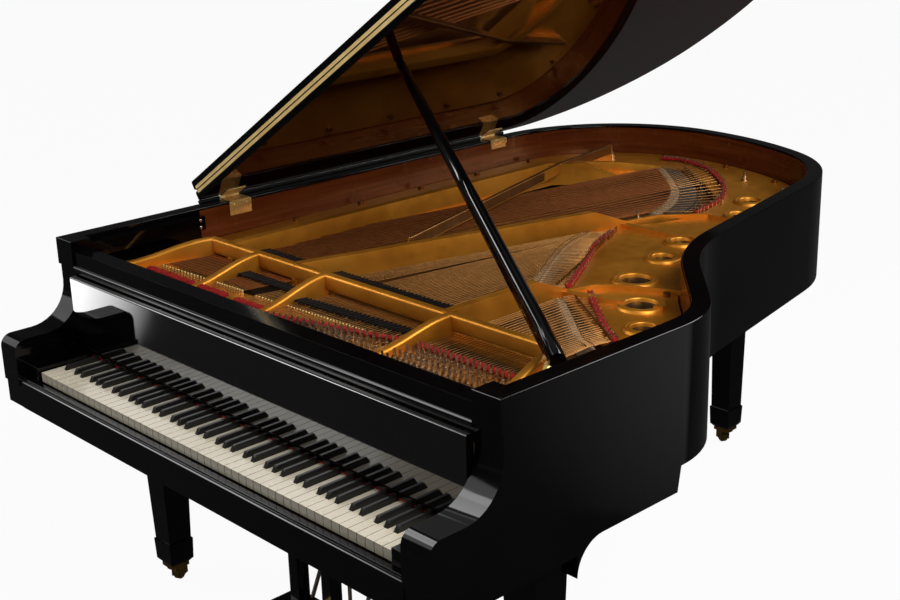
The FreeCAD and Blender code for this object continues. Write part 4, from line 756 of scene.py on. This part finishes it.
# each span: left end, right end, and where its heads start at either end
damperRows = [
    {"spans": [(-462, -250, 474, 474), (-186, 248, 474, 474)], "length": 78, "top": 938, "width": 4.6},
    {"spans": [(-346, -134, 383, 383), (-92, 250, 350, 374)], "length": 32, "top": 935, "width": 4.2},
]


def makeDampers():
    piece = openPiece("damperHeads")
    for row in damperRows:
        drift = damperHeads["slope"] * row["length"]
        for low, high, *starts in row["spans"]:
            for share in shares(int((high - low) / damperHeads["pitch"])):
                x = between(low, high - drift, share)
                y = between(*starts, share)
                head = [(x, y), (x + drift, y + row["length"])]
                bar(head, [row["top"]] * 2, damperHeads["floor"], row["width"])
    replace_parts(closePiece(piece, "damperBlack", "dampers", bevel=damperHeads["edge"]), "dampers")


makeDampers()
print("stage: dampers")

# slim boards: felts and strip at the keys, and the backs of the action room and the pedal box
# each box: half width, front, back, low, high
slimBoards = {
    "fallFelt": {"box": (616, 128.5, 134.5, 750.2, 751.9), "edge": (0.6, 2), "finish": "paintedShadeFelt",
                 "body": "fallboard"},
    "nameStrip": {"box": (616, 135.6, 137.2, 732.6, 744.0), "edge": (0.4, 2), "finish": "blackLacquer"},
    "nameFelt": {"box": (616, 134.9, 137.4, 729.6, 732.8), "edge": (1.0, 2), "finish": "redFelt"},
    "actionBack": {"box": (688, 540.4, 572, 634, 708.8), "edge": (1.5, 2), "finish": "caseTimber"},
    "lyreBack": {"box": (136.4, 337, 348, 145.6, 192.4), "edge": (1.0, 2), "finish": "blackLacquer"},
}


def makeBoards():
    for name, spec in slimBoards.items():
        reach, front, back, low, high = spec["box"]
        piece = openPiece(name)
        block(at(-reach, front, low), at(reach, back, high))
        done = closePiece(piece, spec["finish"], spec.get("body", "case"), bevel=spec["edge"])
        if name == "fallFelt":
            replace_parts(done, "fallboard_felt")


makeBoards()
print("stage: slim boards")

# lid prop: a fluted stick that turns on a knob at its foot
propStick = {"foot": (628, 392, 986), "raised": (-0.8209, 0.3447, 0.4554), "wide": (0.2, -0.5734, 0.7945),
             "rings": [(-30, 33, 16.5), (-22, 35, 18.2), (60, 34, 18), (430, 25, 15.5), (500, 22.5, 14.5),
                       (905, 14, 11), (912, 11, 8.5)],
             "sides": 28, "grooves": {2: 0.86, 4: 1 / 0.86}}  # flutes run from ring 2 to ring 4
propKnob = {"axis": (-0.2935, 0.7187, 0.6304), "sides": 24,
            "profile": [(13, -25), (15, -23), (15, -4), (12, -1)]}


def pickRing(level, step):
    mesh = bmesh.from_edit_mesh(bpy.context.edit_object.data)
    pickNothing()
    ring = [v for v in mesh.verts if abs(v.co.z - level) < tolerance["level"]]
    ring.sort(key=lambda v: math.atan2(v.co.y, v.co.x))
    for v in ring[::step]:
        v.select = True
    mesh.select_flush(True)


def makeProp():
    piece = openPiece("propStick")
    bpy.ops.mesh.select_mode(type="VERT")
    z, wide, deep = propStick["rings"][0]
    centre = Vector((0, 0, z / 1000))
    bpy.ops.mesh.primitive_circle_add(vertices=propStick["sides"], radius=0.001, fill_type="NGON",
                                      location=centre)  # a millimetre, stretched to the first ring
    bpy.ops.transform.resize(value=(wide, deep, 1), center_override=centre)
    for i, (nextZ, nextWide, nextDeep) in enumerate(propStick["rings"][1:], 1):
        bpy.ops.mesh.extrude_region_move(TRANSFORM_OT_translate={"value": (0, 0, (nextZ - z) / 1000)})
        centre = Vector((0, 0, nextZ / 1000))
        bpy.ops.transform.resize(value=(nextWide / wide, nextDeep / deep, 1), center_override=centre)
        z, wide, deep = nextZ, nextWide, nextDeep
        if i in propStick["grooves"]:
            change = propStick["grooves"][i]
            pickRing(z / 1000, 2)
            bpy.ops.transform.resize(value=(change, change, 1), center_override=centre)
            pickRing(z / 1000, 1)
    raised, wideWay = Vector(propStick["raised"]), Vector(propStick["wide"])
    foot = Matrix.Translation(at(*propStick["foot"]))
    turn = Matrix((wideWay, raised.cross(wideWay), raised)).transposed().to_4x4()
    stick = closePiece(piece, "blackLacquer", "prop", angle=50, place=foot @ turn)
    knob = openPiece("propKnob")
    lathe(Vector((0, 0, 0)), propKnob["profile"], propKnob["sides"])
    turn = Vector((0, 0, 1)).rotation_difference(Vector(propKnob["axis"])).to_matrix().to_4x4()
    closePiece(knob, "brassMetal", "prop", place=foot @ turn)
    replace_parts(stick, "lid_prop")


makeProp()
print("stage: prop")

# hinges of the lid: long brass leaves at the fold, butt leaves at the spine
lidHinge = {"x": -745, "z": 1002.5, "open": 32.5, "buttY": (645, 1600), "buttLength": 60, "leaf": 2,
            "leafX": (-740, -700), "seat": 2.5, "lap": 1, "play": 0.1, "knuckle": 4, "sides": 14}
foldHinge = {"y": 548.45, "z": 1031.6, "reach": 728, "leafFront": 548.5, "leafBack": 550,
             "brass": (1021.6, 1030.4), "inlay": (1015, 1021.4), "knuckle": 1.5, "count": 20, "sides": 8,
             "gap": 0.4, "edge": (0.3, 1), "lidEdge": (0.4, 2)}


def turned(point, angle, axis):
    turn = Matrix.Rotation(math.radians(angle), 4, axis)
    return Matrix.Translation(point) @ turn @ Matrix.Translation(-point)


opened = turned(at(lidHinge["x"], 0, lidHinge["z"]), -lidHinge["open"], "Y")
folded = turned(at(0, foldHinge["y"], foldHinge["z"]), 180, "X")


def foldStrip(band, mirrored):
    reach, front, back = foldHinge["reach"], foldHinge["leafFront"], foldHinge["leafBack"]
    if mirrored:
        front, back = 2 * foldHinge["y"] - back, 2 * foldHinge["y"] - front
    block(at(-reach, front, band[0]), at(reach, back, band[1]))


def foldKnuckles(parity):
    reach, count, gap = foldHinge["reach"], foldHinge["count"], foldHinge["gap"]
    length = 2 * reach / count
    starts = [at(-reach + i * length + gap, foldHinge["y"], foldHinge["z"]) for i in range(parity, count, 2)]
    run = Vector(((length - 2 * gap) / 1000, 0, 0))
    wire([starts[0], starts[0] + run], foldHinge["knuckle"], foldHinge["sides"], (0, math.pi / 2, 0))
    bpy.ops.mesh.select_linked()
    repeatTo(starts)


def makeFoldTrim(body, mirrored, edge, place):
    inlay = openPiece(body + "FoldInlay")
    foldStrip(foldHinge["inlay"], mirrored)
    closePiece(inlay, "blackLacquer", body, bevel=edge, place=place)
    barrels = openPiece(body + "FoldBarrels")
    foldKnuckles(int(mirrored))
    closePiece(barrels, "blackLacquer", body, place=place)


def makeLidLeaves():
    piece = openPiece("lidLeaves")
    foldStrip(foldHinge["brass"], False)
    x, (low, high) = lidHinge["x"], lidHinge["leafX"]
    top = lidHinge["z"] + lidHinge["seat"]
    bottom = top - lidHinge["leaf"]
    half, third = lidHinge["buttLength"] / 2, lidHinge["buttLength"] / 3
    for y in lidHinge["buttY"]:
        block(at(low, y - half, bottom), at(high, y + half, top))
        for start in (y - half, y + half - third):
            end = start + third - lidHinge["play"]
            block(at(x, start, bottom), at(low + lidHinge["lap"], end, top))
            ends = [at(x, start, lidHinge["z"]), at(x, end, lidHinge["z"])]
            wire(ends, lidHinge["knuckle"], lidHinge["sides"])
    done = closePiece(piece, "stripBrass", "lid", bevel=foldHinge["edge"], place=opened)
    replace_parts(done, "lid_hinge_leaves")
    makeFoldTrim("lid", False, foldHinge["lidEdge"], opened)


def makeFlapLeaves():
    piece = openPiece("flapLeaf")
    foldStrip(foldHinge["brass"], True)
    done = closePiece(piece, "stripBrass", "flap", bevel=foldHinge["edge"], place=opened @ folded)
    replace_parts(done, "flap_hinge_leaf")
    makeFoldTrim("flap", True, foldHinge["edge"], opened @ folded)


makeLidLeaves()
makeFlapLeaves()
print("stage: lid hinges")

# case side of the hinges: plates on the inner wall, and a black line that shuts the slit at the spine
hingePlate = {"face": (-697.0, -694.2), "half": 34, "lows": (963, 984), "high": 999.6, "edge": (0.9, 2)}
spineLine = {"radius": 4.9, "sides": 16, "spans": [(552, 613), (677, 1568), (1632, 1668)]}


def makeSpine():
    plates = openPiece("hingePlates")
    left, right = hingePlate["face"]
    for y, low in zip(lidHinge["buttY"], hingePlate["lows"]):
        block(at(left, y - hingePlate["half"], low), at(right, y + hingePlate["half"], hingePlate["high"]))
    closePiece(plates, "brassMetal", "case", bevel=hingePlate["edge"])
    line = openPiece("spineLine")
    for ends in spineLine["spans"]:
        wire([at(lidHinge["x"], y, lidHinge["z"]) for y in ends], spineLine["radius"], spineLine["sides"])
    closePiece(line, "damperBlack", "case")


makeSpine()
print("stage: spine")

# screws on the case hinges and the left side rail, seen end on
screw = {"profile": [(4.2, 0), (4.2, 0.5), (3.6, 1.3), (2.2, 1.9)], "sides": 14, "rim": 0.9, "sunk": 0.7,
         "into": 0.3, "shifts": (-20, 20), "hingeZ": 990}
hingeScrews = [(hingePlate["face"][1] - screw["into"], y + shift, screw["hingeZ"])
               for y in lidHinge["buttY"] for shift in screw["shifts"]]
railScrews = [(-674, 506, 958), (-674, 506, 976)]


def makeScrews():
    for name, places, finish in (("hingeScrews", hingeScrews, "brassMetal"),
                                 ("railScrews", railScrews, "nickel")):
        heads = openPiece(name)
        lathe(Vector((0, 0, 0)), screw["profile"], screw["sides"])
        mesh = bmesh.from_edit_mesh(heads.data)
        crown = screw["profile"][-1][1] / 1000
        for face in mesh.faces:
            face.select = all(abs(v.co.z - crown) < tolerance["level"] for v in face.verts)
        # sunk crown for the driver
        bpy.ops.mesh.inset(thickness=screw["rim"] / 1000, depth=-screw["sunk"] / 1000)
        bpy.ops.mesh.select_all(action="SELECT")
        bpy.ops.transform.rotate(value=math.radians(-90), orient_axis="Y", center_override=(0, 0, 0))
        bpy.ops.transform.translate(value=at(*places[0]))
        repeatTo([at(*p) for p in places])
        closePiece(heads, finish, "case", angle=35)


makeScrews()
print("stage: screws")

# nose bolts that hold the casting down
noseBolt = {"places": [(14, 1392), (458, 1012), (-32, 1932), (158, 1838), (-500, 1900)], "sides": 12,
            "profile": [(11, 914.5), (11, 917), (7.5, 918), (7.5, 927), (4.4, 928), (4.4, 938),
                        (3.6, 941), (2, 942)]}


def makeNoseBolts():
    piece = openPiece("noseBolts")
    places = [at(x, y, 0) for x, y in noseBolt["places"]]
    lathe(places[0], noseBolt["profile"], noseBolt["sides"])
    repeatTo(places)
    closePiece(piece, "nickel", "case", angle=35)


makeNoseBolts()
print("stage: nose bolts")

# studio: pale floor, soft lamps, white surround
studio = {"floorSize": 40, "floorTone": (0.5, 0.5, 0.51), "floorSeen": 0.95, "floorMirrored": 0.05,
          "roomTone": (0.80, 0.82, 0.86), "roomPower": 0.22,
          "gloss": [(0.0, (0.12, 0.12, 0.12)), (0.06, (0.05, 0.05, 0.05)), (0.45, (0.02, 0.02, 0.021)),
                    (0.75, (0.10, 0.10, 0.105)), (1.0, (0.4, 0.4, 0.4))]}


def mixShader(tree, share, first, second):
    node = tree.nodes.new("ShaderNodeMixShader")
    tree.links.new(share, node.inputs[0])
    tree.links.new(first, node.inputs[1])
    tree.links.new(second, node.inputs[2])
    return node.outputs[0]


def rays(tree):
    path = tree.nodes.new("ShaderNodeLightPath")
    clear = mathNode(tree, "MAXIMUM", path.outputs["Is Camera Ray"], path.outputs["Is Transmission Ray"])
    return clear, path.outputs["Is Glossy Ray"]


def glow(tree, strength):
    node = tree.nodes.new("ShaderNodeEmission")
    node.inputs["Color"].default_value = (1, 1, 1, 1)
    node.inputs["Strength"].default_value = strength
    return node.outputs[0]


def makeFloor():
    bpy.ops.object.select_all(action="DESELECT")
    bpy.ops.mesh.primitive_plane_add(size=studio["floorSize"], location=(0, 0, 0))
    floor = bpy.context.active_object
    floor.name = "studioFloor"
    mat = bpy.data.materials.new("paleFloor")
    mat.use_nodes = True
    tree = mat.node_tree
    tree.nodes.clear()
    matte = tree.nodes.new("ShaderNodeBsdfDiffuse")
    matte.inputs["Color"].default_value = (*studio["floorTone"], 1)
    clear, glossy = rays(tree)
    seen = mathNode(tree, "MULTIPLY", clear, studio["floorSeen"])
    lit = mixShader(tree, seen, matte.outputs[0], glow(tree, 1.0))
    surface = mixShader(tree, glossy, lit, glow(tree, studio["floorMirrored"]))
    out = tree.nodes.new("ShaderNodeOutputMaterial")
    tree.links.new(surface, out.inputs["Surface"])
    floor.data.materials.append(mat)


def backdrop(tree, colour, strength):
    node = tree.nodes.new("ShaderNodeBackground")
    node.inputs["Strength"].default_value = strength
    if isinstance(colour, tuple):
        node.inputs["Color"].default_value = (*colour, 1)
    else:
        tree.links.new(colour, node.inputs["Color"])
    return node.outputs[0]


def makeWorld():
    world = bpy.data.worlds.new("studioWorld")
    bpy.context.scene.world = world
    world.use_nodes = True
    tree = world.node_tree
    tree.nodes.clear()
    clear, glossy = rays(tree)
    coords = tree.nodes.new("ShaderNodeTexCoord")
    split = tree.nodes.new("ShaderNodeSeparateXYZ")
    tree.links.new(coords.outputs["Generated"], split.inputs[0])
    room = backdrop(tree, studio["roomTone"], studio["roomPower"])
    mirrored = backdrop(tree, ramp(tree, split.outputs["Z"], studio["gloss"]), 1.0)
    white = backdrop(tree, (1.0, 1.0, 1.0), 1.0)
    soft = mixShader(tree, glossy, room, mirrored)
    out = tree.nodes.new("ShaderNodeOutputWorld")
    tree.links.new(mixShader(tree, clear, soft, white), out.inputs["Surface"])


# a lamp with only or skips lights or spares the pieces it names, as studio reflectors do
frontPieces = ["outer_rim", "front_rails", "fallboard", "key_slip"]
lamps = {
    "openSideLamp": {"place": (2.6, -0.6, 3.3), "aim": (0.1, 0.1, 0.9), "size": (1.8, 1.8), "watts": 130},
    "tailLamp": {"place": (1.6, 2.9, 2.8), "aim": (0.1, 0.5, 0.9), "size": (1.4, 1.4), "watts": 60},
    "frontLamp": {"place": (-0.6, -4.2, 3.2), "aim": (-0.1, -0.9, 0.8), "size": (3.0, 2.2), "watts": 45},
    "edgeLamp": {"place": (-2.8, -2.7, 2.6), "aim": (0.0, -0.9, 0.7), "size": (1.5, 1.5), "watts": 55,
                 "skips": ["outer_rim"]},
    "armLamp": {"place": (-0.96, -2.09, 2.43), "aim": (0.73, -1.0, 0.79), "size": (1.0, 1.8), "watts": 11,
                "only": frontPieces},
    "armTopLamp": {"place": (-0.83, -1.24, 2.59), "aim": (0.73, -1.0, 0.79), "size": (1.5, 1.0),
                   "watts": 32, "only": ["outer_rim", "front_rails"]},
    "leftArmLamp": {"place": (-2.95, -1.86, 1.83), "aim": (-0.72, -1.0, 0.79), "size": (1.2, 1.6),
                    "watts": 9, "only": frontPieces},
    "cheekLamp": {"place": (1.62, 0.45, 0.30), "aim": (0.80, -0.70, 0.81), "size": (1.2, 0.8),
                  "watts": 0.013, "spread": 19, "only": ["outer_rim"]},
    "rimEdgeLamp": {"place": (1.64, 1.2, 2.45), "aim": (0.754, -0.6, 0.96), "size": (0.8, 0.8),
                    "watts": 30, "only": ["outer_rim"]},
    "propLamp": {"place": (-1.48, -1.6, 2.5), "aim": (0.27, -0.49, 1.15), "size": (0.5, 0.5), "watts": 14,
                 "only": ["propStick"]},
    "fallLamp": {"place": (-2.12, -1.72, 0.30), "aim": (-0.649, -1.018, 0.783), "size": (0.90, 0.40),
                 "watts": 0.038, "spread": 10.4, "only": ["fallboard"]},
}


def makeLamp(name, spec):
    data = bpy.data.lights.new(name, "AREA")
    data.shape = "RECTANGLE"
    data.size, data.size_y = spec["size"]
    data.energy = spec["watts"]
    data.spread = math.radians(spec.get("spread", 180))
    lamp = bpy.data.objects.new(name, data)
    bpy.context.scene.collection.objects.link(lamp)
    lamp.location = spec["place"]
    aim = Vector(spec["aim"]) - Vector(spec["place"])
    lamp.rotation_euler = aim.to_track_quat("-Z", "Y").to_euler()
    named = spec.get("only", spec.get("skips"))
    if named:
        group = bpy.data.collections.new(name + "Pieces")
        for piece in named:
            group.objects.link(bpy.data.objects[piece])
        if "skips" in spec:
            for row in group.collection_objects:
                row.light_linking.link_state = "EXCLUDE"
        lamp.light_linking.receiver_collection = group


makeFloor()
makeWorld()
for name, spec in lamps.items():
    makeLamp(name, spec)
print("stage: studio")

print("stage: done")
